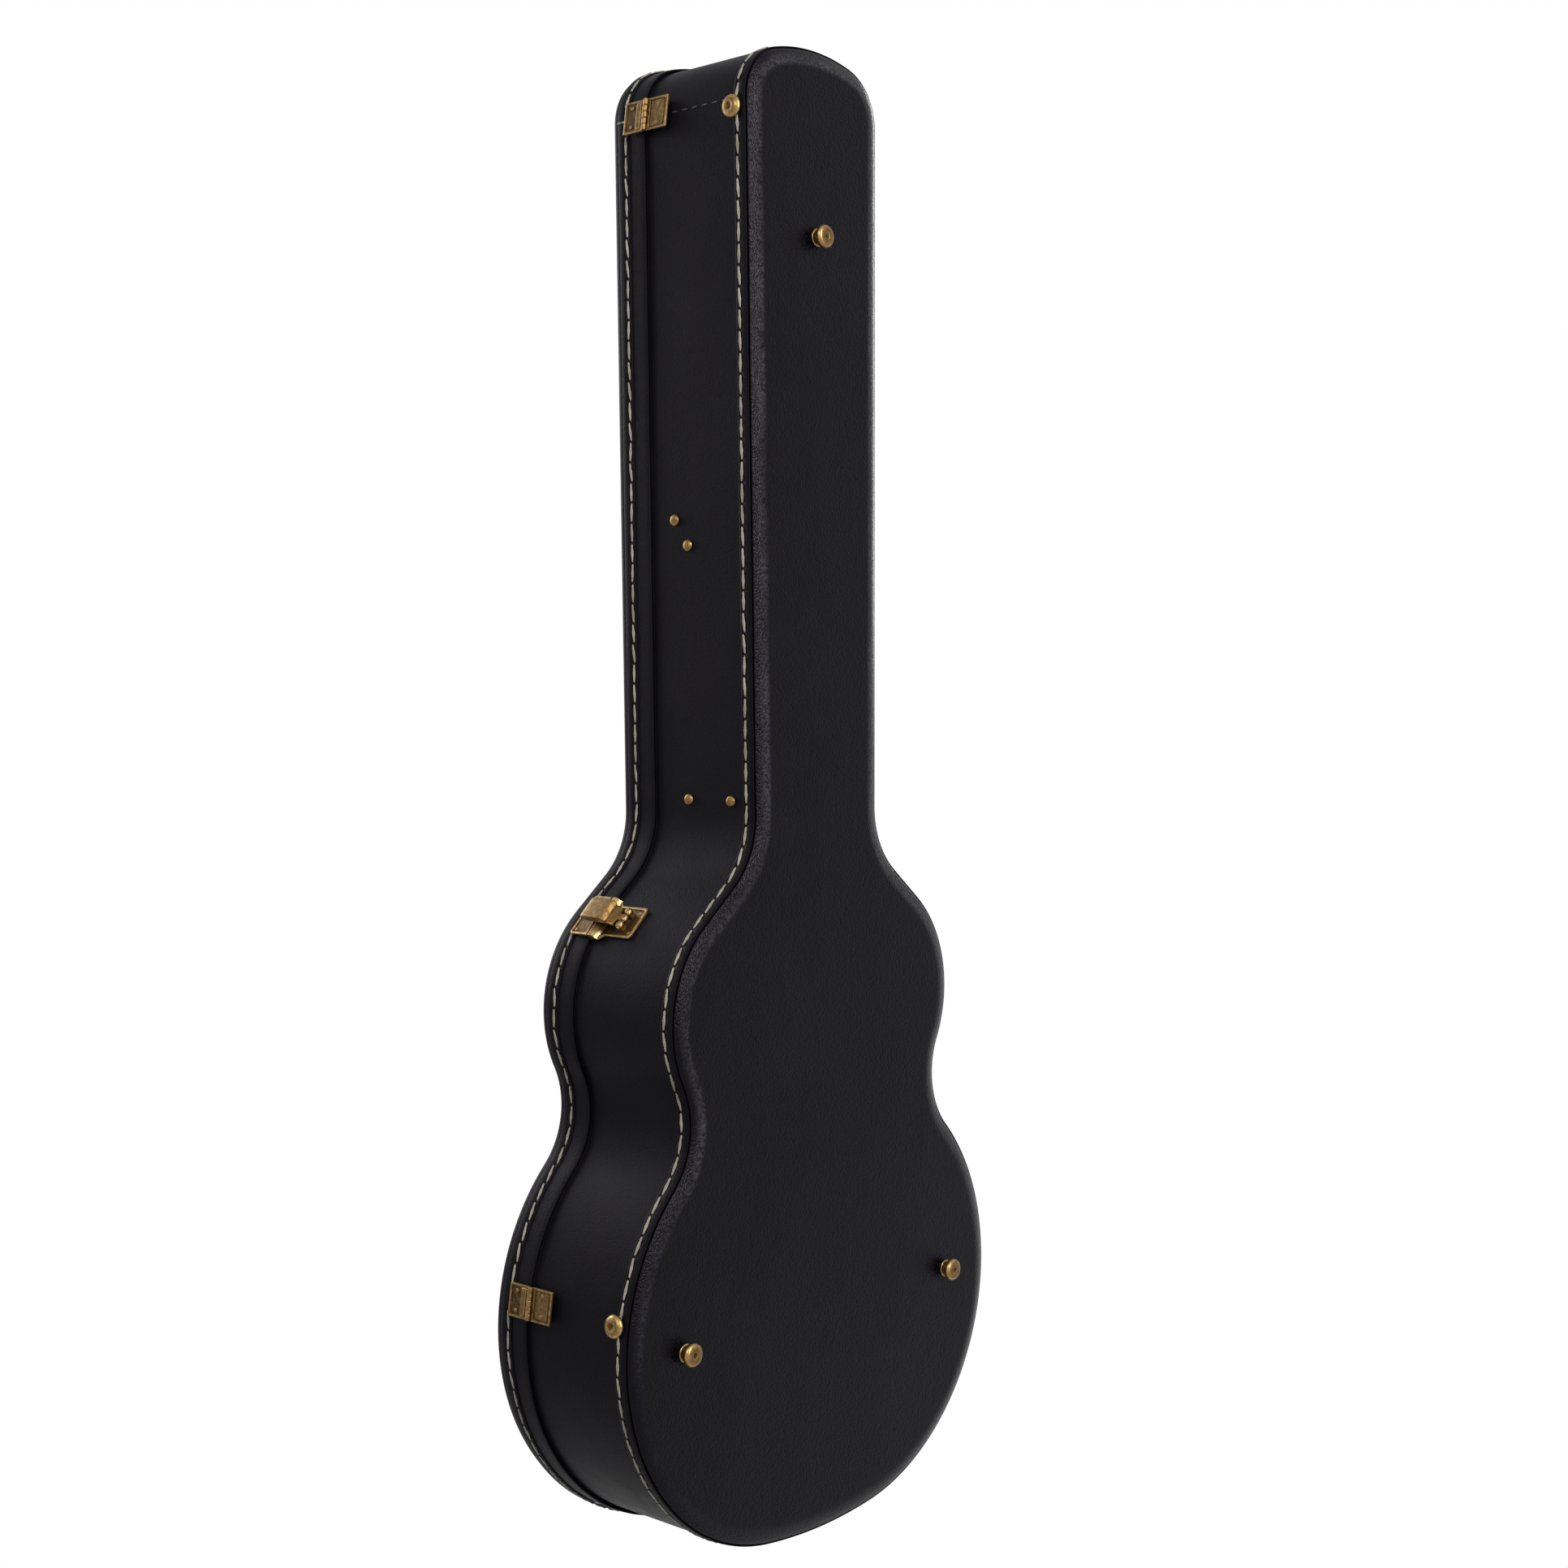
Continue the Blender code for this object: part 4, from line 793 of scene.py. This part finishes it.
# Latches: rimmed base plate with two ears, lever between them, strike plate and lug on the lid.
LATCH_HALF, LATCH_SLIM, LATCH_DROP, LATCH_WIDE, LATCH_RISE = 0.018, 0.014, 0.038, 0.008, 0.0175
PIVOT_DROP, PIVOT_OUT, LATCH_T = 0.0255, 0.0051, 0.0014
STRIKE_OUT = LID_PROUD + 0.0015

# Sections of the lever's arm and of its box: half width, inner face, outer face, height above the pivot.
LEVER_ARM = [(0.0027, -0.0024, 0.0022, 0.0006), (0.0027, -0.0022, 0.0024, 0.0034),
             (0.0040, -0.0014, 0.0026, 0.0042), (0.0078, -0.0004, 0.0030, 0.0052),
             (0.0082, 0.0008, 0.0038, 0.0068), (0.0082, 0.0022, 0.0049, 0.0088),
             (0.0082, 0.0030, 0.0054, 0.0110), (0.0082, 0.0034, 0.0056, 0.0200),
             (0.0082, 0.0036, 0.0056, 0.0285), (0.0078, 0.0038, 0.0054, 0.0295)]
LEVER_BOX = [(0.0080, 0.0052, 0.0066, 0.0094), (0.0087, 0.0052, 0.0074, 0.0100),
             (0.0090, 0.0053, 0.0088, 0.0110), (0.0090, 0.0054, 0.0099, 0.0122),
             (0.0090, 0.0054, 0.0104, 0.0134), (0.0090, 0.0055, 0.0105, 0.0180),
             (0.0090, 0.0056, 0.0107, 0.0260), (0.0090, 0.0057, 0.0107, 0.0298),
             (0.0089, 0.0059, 0.0105, 0.0314), (0.0086, 0.0063, 0.0100, 0.0325),
             (0.0080, 0.0070, 0.0092, 0.0331)]


def rounded_box(half_w, low, high, y, power, count=28):
    """Section of the lever at a height up the wall."""
    def bulge(v):
        return math.copysign(abs(v) ** (2 / power), v)
    turns = [2.0 * math.pi * (k + 0.5) / count for k in range(count)]
    mid, half_t = (low + high) / 2, (high - low) / 2
    return [(half_w * bulge(math.cos(t)), y, mid + half_t * bulge(math.sin(t))) for t in turns]


for tag in ("shoulder_hinge_side", "shoulder_handle_side", "lower_handle_side"):
    joint = JOINTS["latch_" + tag + "_flip"]
    along = Vector(joint["axis"])
    out = along.cross(UP)
    pivot = stand(joint["pos_m"], along, out)
    seat = stand(pivot.translation + UP * PIVOT_DROP - out * PIVOT_OUT, along, out)
    low, notch = -LATCH_DROP, -LATCH_WIDE - 0.004
    loop = [(-LATCH_HALF, -LATCH_WIDE), (-LATCH_SLIM, notch), (-LATCH_SLIM, low), (LATCH_SLIM, low),
            (LATCH_SLIM, notch), (LATCH_HALF, -LATCH_WIDE), (LATCH_HALF, -GAP), (-LATCH_HALF, -GAP)]
    loop = soften(loop, [0.002, 0.002, 0.0035, 0.0035, 0.002, 0.002, 0.0008, 0.0008], 3)
    plate = Shape().rimmed(loop, GAP, GAP + LATCH_T + 0.0003, 0.0019, 0.0009)
    ramp = [(-0.0003, 0.0012), (-0.0003, 0.0054), (-0.0007, 0.0058), (-0.0040, 0.0057), (-0.0052, 0.0050),
            (-0.0078, 0.0021), (-0.0080, 0.0012)]
    plate.loft([[(x, y, z) for y, z in ramp] for x in (-LATCH_HALF, LATCH_HALF)])
    for x0, x1 in ((-0.0088, -0.0032), (0.0032, 0.0088)):
        plate.barrel(x0, x1, -PIVOT_DROP, PIVOT_OUT, 0.0030, 0.0019)
        ear = box_loop(x0 + 0.0006, x1 - 0.0006, -PIVOT_DROP - 0.0024, -PIVOT_DROP + 0.0024)
        plate.block(ear, GAP + 0.0004, PIVOT_OUT - 0.0006, 0.0003)
    edged(brass(plate, "latch_plate_" + tag + "_base", seat, "base", ["latch_plate_" + tag],
                gain=2.4, least=-0.02, crest=(seat, GAP + LATCH_T - 0.0002, 0.34)))
    small["base"] += [(seat @ Vector((x, -0.0335, GAP + 0.0007)), out) for x in (-0.0092, 0.0092)]

    lever = Shape()
    lever.barrel(-0.0028, 0.0028, 0.0, 0.0, 0.0030, 0.0017)
    lever.loft([rounded_box(w, a, b, y, 9.0) for w, a, b, y in LEVER_ARM])
    lever.loft([rounded_box(w, a, b, y, 10.0, 36) for w, a, b, y in LEVER_BOX])
    edged(brass(lever, "latch_lever_" + tag + "_box", pivot, "latch_" + tag, ["latch_lever_" + tag],
                gain=2.2, least=0.30), angle=0.9)
    pin = Shape().barrel(-0.0094, 0.0094, 0.0, 0.0, 0.0013, 0.0005, 14)
    pin.piece("latch_pin_" + tag + "_rod", pivot, STEEL, "base", "steel_pin", ["latch_pin_" + tag])

    loop = [(-LATCH_HALF, 0.0006), (LATCH_HALF, 0.0006), (LATCH_HALF, LATCH_RISE), (-LATCH_HALF, LATCH_RISE)]
    loop = soften(loop, [0.0006, 0.0006, 0.0024, 0.0024], 3)
    strike = Shape().rimmed(loop, STRIKE_OUT, STRIKE_OUT + LATCH_T + 0.0002, 0.0016, 0.0006)
    lug = box_loop(-0.0052, 0.0052, 0.0014, 0.0034, 0.0008)
    strike.block(lug, STRIKE_OUT + 0.0004, LID_PROUD + 0.0054, 0.0006)
    edged(brass(strike, "latch_strike_" + tag + "_plate", seat, "lid", ["latch_strike_" + tag],
                gain=2.4, least=0.02, crest=(seat, STRIKE_OUT + LATCH_T - 0.0003, 0.34)))
    small["lid"] += [(seat @ Vector((x, 0.0128, STRIKE_OUT + 0.0010)), out) for x in (-0.0138, 0.0138)]

# Handle: wrapped grip with end caps, flat arms, brackets on the wall.
swing = JOINTS["handle_swing"]
grip_way = -Vector(swing["axis"])
grip_out = grip_way.cross(UP)
HANDLE_DROP, GRIP_R, GRIP_HALF = 0.034, 0.0085, 0.0507
handle = stand(swing["pos_m"], grip_way, grip_out)


def grip_ring(t, scale):
    """Section of the grip at a share of its half length."""
    swell = float(np.interp(abs(t), (0.0, 0.6, 0.94, 1.0), (1.06, 0.98, 0.88, 0.80))) * scale
    r, turns = GRIP_R * swell, [2.0 * math.pi * i / 28 for i in range(28)]
    return [(t * GRIP_HALF, -HANDLE_DROP + r * 1.05 * math.sin(a), r * 0.9 * math.cos(a)) for a in turns]


grip = Shape()
rows = [(-0.92 + 1.84 * k / 46, 1.0 + 0.012 * math.sin(k * 1.7) * math.sin(k * 0.61)) for k in range(47)]
rows = [(-0.925, 0.86)] + rows + [(0.925, 0.86)]
grip.loft([grip_ring(t, s) for t, s in rows])
grip.piece("handle_grip_wrap", handle, GRIP, "handle", "grip_leather", ["handle_grip"])
cap_rows = [(0.905, 0.90), (0.905, 1.05), (0.912, 1.075), (0.925, 1.08), (0.935, 1.06), (0.945, 1.06),
            (0.955, 1.08), (0.985, 1.06), (0.995, 1.0), (1.0, 0.90)]
caps = Shape()
for s in (-1.0, 1.0):
    caps.loft([grip_ring(s * t, k) for t, k in cap_rows])
brass(caps, "handle_grip_caps", handle, "handle", (), gain=2.6, least=0.15)
seam = [(handle @ Vector((t * GRIP_HALF, -HANDLE_DROP - GRIP_R * 0.66, -GRIP_R * 0.68)),
         handle.to_3x3() @ Vector((0.0, -0.7, -0.7))) for t in np.linspace(-0.86, 0.86, 40)]
stitch_row("handle_grip_stitches", [seam], "handle", "grip_leather", THREAD, Seed=5, Pitch=0.0052,
           Length=0.0040, Width=0.0012, Height=0.0010)
for end in ("head", "tail"):
    eased("handle_arm_" + end + "_strap", "handle_arm_" + end, 0.0007, BRASS, "handle")
    eased("handle_bracket_" + end + "_plate", "handle_bracket_" + end, 0.0004, BRASS, "base")
for name in ("hinge_pin_head", "hinge_pin_tail", "handle_pin_head", "handle_pin_tail"):
    nodes[name].data.materials.clear()
    nodes[name].data.materials.append(STEEL)
for body, row in small.items():
    rivet_row(body + "_plate_rivets", row, PLATE_RIVET_R, body)
bpy.data.objects.remove(rivet_head)

# Seam across the head end beside the hinge: dull stitches down the wall, two cream ones on the lid edging.
head_hinge = middle("hinge_pin_head")
near = int(np.argmin(np.abs(OUT_P[:len(OUT_P) // 2, 1] - head_hinge.y)))
seam_out = Vector((*OUT_N[near], 0.0))
seam_at = Vector((OUT_P[near, 0] + CENTRE_X, OUT_P[near, 1], 0.0))
wall_seam = [(seam_at + seam_out * 0.0002 + UP * z, seam_out) for z in np.linspace(0.084, 0.034, 30)]
stitch_row("head_seam_stitches", [wall_seam], "base", "black_leathercloth", FAINT, Seed=2, Pitch=0.0085,
           Length=0.0055, Width=0.0011, Height=0.0006)
on_edging = seam_at + seam_out * (lid_edge + 0.0001)
lid_seam = [(on_edging + UP * z, seam_out) for z in np.linspace(0.1325, 0.1372, 6)]
stitch_row("lid_seam_stitches", [lid_seam], "lid", "stitched_edging", THREAD, Seed=4, Pitch=0.0047,
           Length=0.0042, Width=0.0018)

# Plush inside. Linings are cloth over thin board; pads and rests are plumped up by a cloth simulation.
LIN_OUT, LIN_T, LIP_H, PAD_LOW, PAD_TOP = -0.0056, 0.003, 0.007, Z_FLOOR + GAP, Z_FLOOR + GAP + 0.014
lin_in = LIN_OUT - LIN_T
lip_z = Z_SEAM + LIP_H - 0.001
lining = [(LIN_OUT, PAD_LOW), (LIN_OUT, lip_z)]
lining += [(LIN_OUT - LIN_T / 2 + LIN_T / 2 * math.cos(t), lip_z + 0.001 * math.sin(t))
           for t in np.linspace(0.3, math.pi - 0.3, 6)]
lining += [(lin_in, lip_z)]
lining += [(lin_in - 0.0002 * math.sin(k), lip_z - (lip_z - PAD_LOW) * k / 11) for k in range(1, 12)]
shell("base_lining_plush", lining, PLUSH, "base", "base_lining")
lid_lin = LID_PROUD - WALL_T - GAP
lid_lining = [(lid_lin, LID_LOW + 0.0006), (lid_lin, LID_HIGH)]
lid_lining += [(lid_lin - 0.002 + 0.0002 * math.sin(k * 1.3), LID_HIGH - (LID_HIGH - LID_LOW - 0.001) * k / 5)
               for k in range(6)]
lid_lining += [(lid_lin - 0.0012, LID_LOW + 0.0001), (lid_lin - 0.0006, LID_LOW + 0.0001)]
shell("lid_lining_plush", lid_lining, PLUSH, "lid", "lid_lining")


CLOTH_STEPS = 20


def plump(name, verts, faces, body, node, voxel, cap, held, crease=None):
    """A pad blown up a little by cloth simulation from a smaller shape; held says which points stay put."""
    mesh = bpy.data.meshes.new(name + "_start")
    mesh.from_pydata([tuple(v) for v in verts], [], faces)
    start = bpy.data.objects.new(name + "_start", mesh)
    scene.collection.objects.link(start)
    mod = start.modifiers.new("even", "REMESH")
    mod.mode, mod.voxel_size = "VOXEL", voxel
    even = bpy.data.meshes.new_from_object(start.evaluated_get(bpy.context.evaluated_depsgraph_get()))
    bpy.data.objects.remove(start)
    obj = bpy.data.objects.new(name, even)
    scene.collection.objects.link(obj)
    co = np.empty(len(even.vertices) * 3)
    even.vertices.foreach_get("co", co)
    before = co.reshape(-1, 3).copy()
    group = obj.vertex_groups.new(name="held")
    group.add([int(i) for i in np.flatnonzero(held(before))], 1.0, "REPLACE")
    cloth = obj.modifiers.new("cloth", "CLOTH")
    cloth.settings.quality = 4
    cloth.settings.mass = 0.25
    cloth.settings.tension_stiffness = cloth.settings.compression_stiffness = 12.0
    cloth.settings.shear_stiffness, cloth.settings.bending_stiffness = 4.0, 0.4
    cloth.settings.use_pressure, cloth.settings.uniform_pressure_force = True, 4.0
    cloth.settings.effector_weights.gravity = 0.0
    cloth.settings.vertex_group_mass = "held"
    cloth.collision_settings.use_collision = False
    cloth.point_cache.frame_start, cloth.point_cache.frame_end = 1, CLOTH_STEPS
    for step in range(1, CLOTH_STEPS + 1):
        scene.frame_set(step)
    blown = bpy.data.meshes.new_from_object(obj.evaluated_get(bpy.context.evaluated_depsgraph_get()))
    after = np.empty(len(blown.vertices) * 3)
    blown.vertices.foreach_get("co", after)
    obj.modifiers.remove(cloth)
    obj.vertex_groups.clear()
    move = after.reshape(-1, 3) - before
    far = np.linalg.norm(move, axis=1)
    move *= (cap * np.tanh(far / cap) / np.maximum(far, 1e-9))[:, None]
    before += move
    bpy.data.meshes.remove(blown)
    scene.frame_set(1)
    if crease:
        before = crease(before)
    even.vertices.foreach_set("co", before.ravel())
    even.update()
    finer = obj.modifiers.new("finer", "SUBSURF")
    finer.levels = finer.render_levels = 1
    dress(made_from(obj, name), PLUSH, body, [node])


def outline_depth(points):
    """How far points lie inside the base outline, seen from above."""
    flat = OUT_P + np.array((CENTRE_X, 0.0))
    best = np.full(len(points), 9.0)
    for p in flat:
        best = np.minimum(best, np.hypot(points[:, 0] - p[0], points[:, 1] - p[1]))
    return best


def sewn(face_z, way, inner, depth):
    """Presses a sewn line into a pad, a set distance in from the wall."""
    def crease(points):
        gap = outline_depth(points) - inner
        near = (points[:, 2] - face_z) * way > -0.006
        points[:, 2] -= way * depth * np.exp(-(gap / 0.0035) ** 2) * near
        return points
    return crease


pad_out = lin_in - GAP - 0.0015
pad = [(pad_out - 0.003, PAD_LOW), (pad_out - 0.001, PAD_LOW + 0.003), (pad_out - 0.001, PAD_TOP - 0.007),
       (pad_out - 0.005, PAD_TOP - 0.0045), (pad_out - 0.012, PAD_TOP - 0.004)]
verts, faces = swept(pad, closed=False)
plump("floor_pad_cushion", verts, faces, "base", "floor_pad", voxel=0.006, cap=0.0042,
      held=lambda c: c[:, 2] < PAD_LOW + 0.004, crease=sewn(PAD_TOP, 1.0, 0.036, 0.0026))
LID_PAD_TOP = Z_FRONT - FRONT_R - GAP
lid_pad_out = lid_lin - 0.002 - GAP - 0.0015
pad = [(lid_pad_out - 0.012, LID_PAD_TOP - 0.0068), (lid_pad_out - 0.005, LID_PAD_TOP - 0.0064),
       (lid_pad_out - 0.001, LID_PAD_TOP - 0.004), (lid_pad_out - 0.001, LID_PAD_TOP - 0.001),
       (lid_pad_out - 0.002, LID_PAD_TOP)]
verts, faces = swept(pad, closed=False)
plump("lid_pad_cushion", verts, faces, "lid", "lid_pad", voxel=0.006, cap=0.0032,
      held=lambda c: c[:, 2] > LID_PAD_TOP - 0.003, crease=sewn(LID_PAD_TOP - 0.010, -1.0, 0.036, 0.0020))


def rest_shape(node, dip, back):
    """Padded block across the neck with a dip for the neck, a little smaller than its solid."""
    lo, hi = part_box(node)
    half_w, mid_x = (hi.x - lo.x) / 2 - back, (hi.x + lo.x) / 2
    foot, top = lo.z + 0.0005, hi.z - back
    loop = [(-half_w, foot), (half_w, foot), (half_w, top - 0.004), (half_w - 0.004, top)]
    turns = [math.pi * k / 12 for k in range(13)]
    loop += [(half_w * 0.62 * math.cos(t), top - dip * math.sin(t)) for t in turns]
    loop += [(-half_w + 0.004, top), (-half_w, top - 0.004)]
    shape = Shape().loft([[(mid_x + x, y, z) for x, z in loop] for y in (lo.y + back, hi.y - back)])
    return shape.verts, shape.faces, lo.z + 0.004


for node, dip, back, voxel, cap, fill in (("neck_rest", 0.016, 0.0026, 0.0040, 0.0026, 0.7),
                                          ("well_bulkhead", 0.0096, 0.0014, 0.0030, 0.0013, 0.85)):
    verts, faces, foot = rest_shape(node, dip, back)
    plump(node + "_pad", verts, faces, "base", node, voxel, cap, held=lambda c: c[:, 2] < foot)

# Stage: pale floor that is clear from below and fades into the white surroundings, soft lamps all round.
FLOOR_HALF = 6.0
floor_mesh = bpy.data.meshes.new("floor")
corners = ((-1, -1), (1, -1), (1, 1), (-1, 1))
floor_mesh.from_pydata([(x * FLOOR_HALF, y * FLOOR_HALF, -0.0004) for x, y in corners], [], [(0, 1, 2, 3)])
floor = bpy.data.objects.new("floor", floor_mesh)
scene.collection.objects.link(floor)
f = Finish("pale_floor", Base_Color=(0.86, 0.86, 0.86, 1.0), Roughness=0.9)
rays, geo = f.add("LightPath"), f.add("NewGeometry")
seen_top = f.times(rays.outputs["Is Camera Ray"],
                   f.add("Math", {0: 1.0, 1: geo.outputs["Backfacing"]}, operation="SUBTRACT").outputs[0])
away = f.add("VectorMath", {0: f.here}, operation="LENGTH").outputs["Value"]
glow = f.add("Emission", {"Color": (1.0, 1.0, 1.0, 1.0), "Strength": 1.0})
paper = f.add("MixShader", {0: f.ramp(away, 0.8, 2.6, 0.0, 1.0), 1: f.bsdf.outputs[0], 2: glow.outputs[0]})
clear = f.add("BsdfTransparent")
cover = f.add("MixShader", {0: seen_top, 1: clear.outputs[0], 2: paper.outputs[0]})
f.tree.links.new(cover.outputs[0], f.tree.nodes["Material Output"].inputs["Surface"])
floor_mesh.materials.append(f.mat)

world = bpy.data.worlds.new("studio")
scene.world = world
world.use_nodes = True
sky_tree = world.node_tree
add = adder(sky_tree, "ShaderNode")
sky = sky_tree.nodes["Background"]
sky.inputs["Color"].default_value = (0.80, 0.82, 0.86, 1.0)
sky.inputs["Strength"].default_value = 0.40
white = add("Background", {"Color": (1.0, 1.0, 1.0, 1.0), "Strength": 1.0})
rays = add("LightPath").outputs
either = add("Math", {0: rays["Is Camera Ray"], 1: rays["Is Glossy Ray"]}, operation="MAXIMUM").outputs[0]
any_ray = add("Math", {0: either, 1: rays["Is Transmission Ray"]}, operation="MAXIMUM").outputs[0]
mix = add("MixShader", {0: any_ray, 1: sky.outputs[0], 2: white.outputs[0]})
sky_tree.links.new(mix.outputs[0], sky_tree.nodes["World Output"].inputs["Surface"])


def lamp(name, place, aim, power, wide, tall, colour=(1.0, 1.0, 1.0)):
    """Oblong soft box, its long side along the case."""
    light = bpy.data.lights.new(name, "AREA")
    light.energy = power
    light.shape = "RECTANGLE"
    light.size, light.size_y = wide, tall
    light.color = colour
    back = (Vector(place) - Vector(aim)).normalized()
    side = Vector((0.0, 1.0, 0.0)).cross(back).normalized()
    obj = bpy.data.objects.new(name, light)
    turn = Matrix((side, back.cross(side), back)).transposed().to_4x4()
    obj.matrix_world = Matrix.Translation(place) @ turn
    obj.visible_camera = False
    scene.collection.objects.link(obj)


# Camera: upright along the case's length, on the hinge side and behind the back panel.
RIGHT = Vector((-0.67205301, -0.00680864, -0.74047174))
RISE = Vector((-0.04225253, 0.99868118, 0.02916557))
AHEAD = Vector((-0.73929661, -0.05088762, 0.67145437))
EYE = Vector((1.2171391 + CENTRE_X, 0.0952625, -1.0587818)) + RIGHT * 0.00035
cam_data = bpy.data.cameras.new("camera")
cam_data.sensor_width = 36.0
cam_data.lens = 51.064
camera = bpy.data.objects.new("camera", cam_data)
turn = Matrix((RIGHT, RISE, -AHEAD)).transposed().to_4x4()
camera.matrix_world = Matrix.Translation(EYE) @ turn
scene.collection.objects.link(camera)
scene.camera = camera

lamp("key", EYE + RIGHT * 1.10 + RISE * 0.70 + AHEAD * 0.30, (0, 0.05, 0.07), power=34.0, wide=0.18, tall=1.6,
     colour=(1.0, 0.99, 0.97))
lamp("fill", EYE + RIGHT * -0.55 + RISE * 0.95, (0, 0, 0.05), power=12.5, wide=0.9, tall=0.9)
lamp("over", (0.4, 0.7, 2.2), (0, 0, 0.07), power=36.0, wide=1.4, tall=1.4)
lamp("side", (-1.9, 0.7, 1.1), (0, 0, 0.07), power=24.0, wide=1.2, tall=1.2)
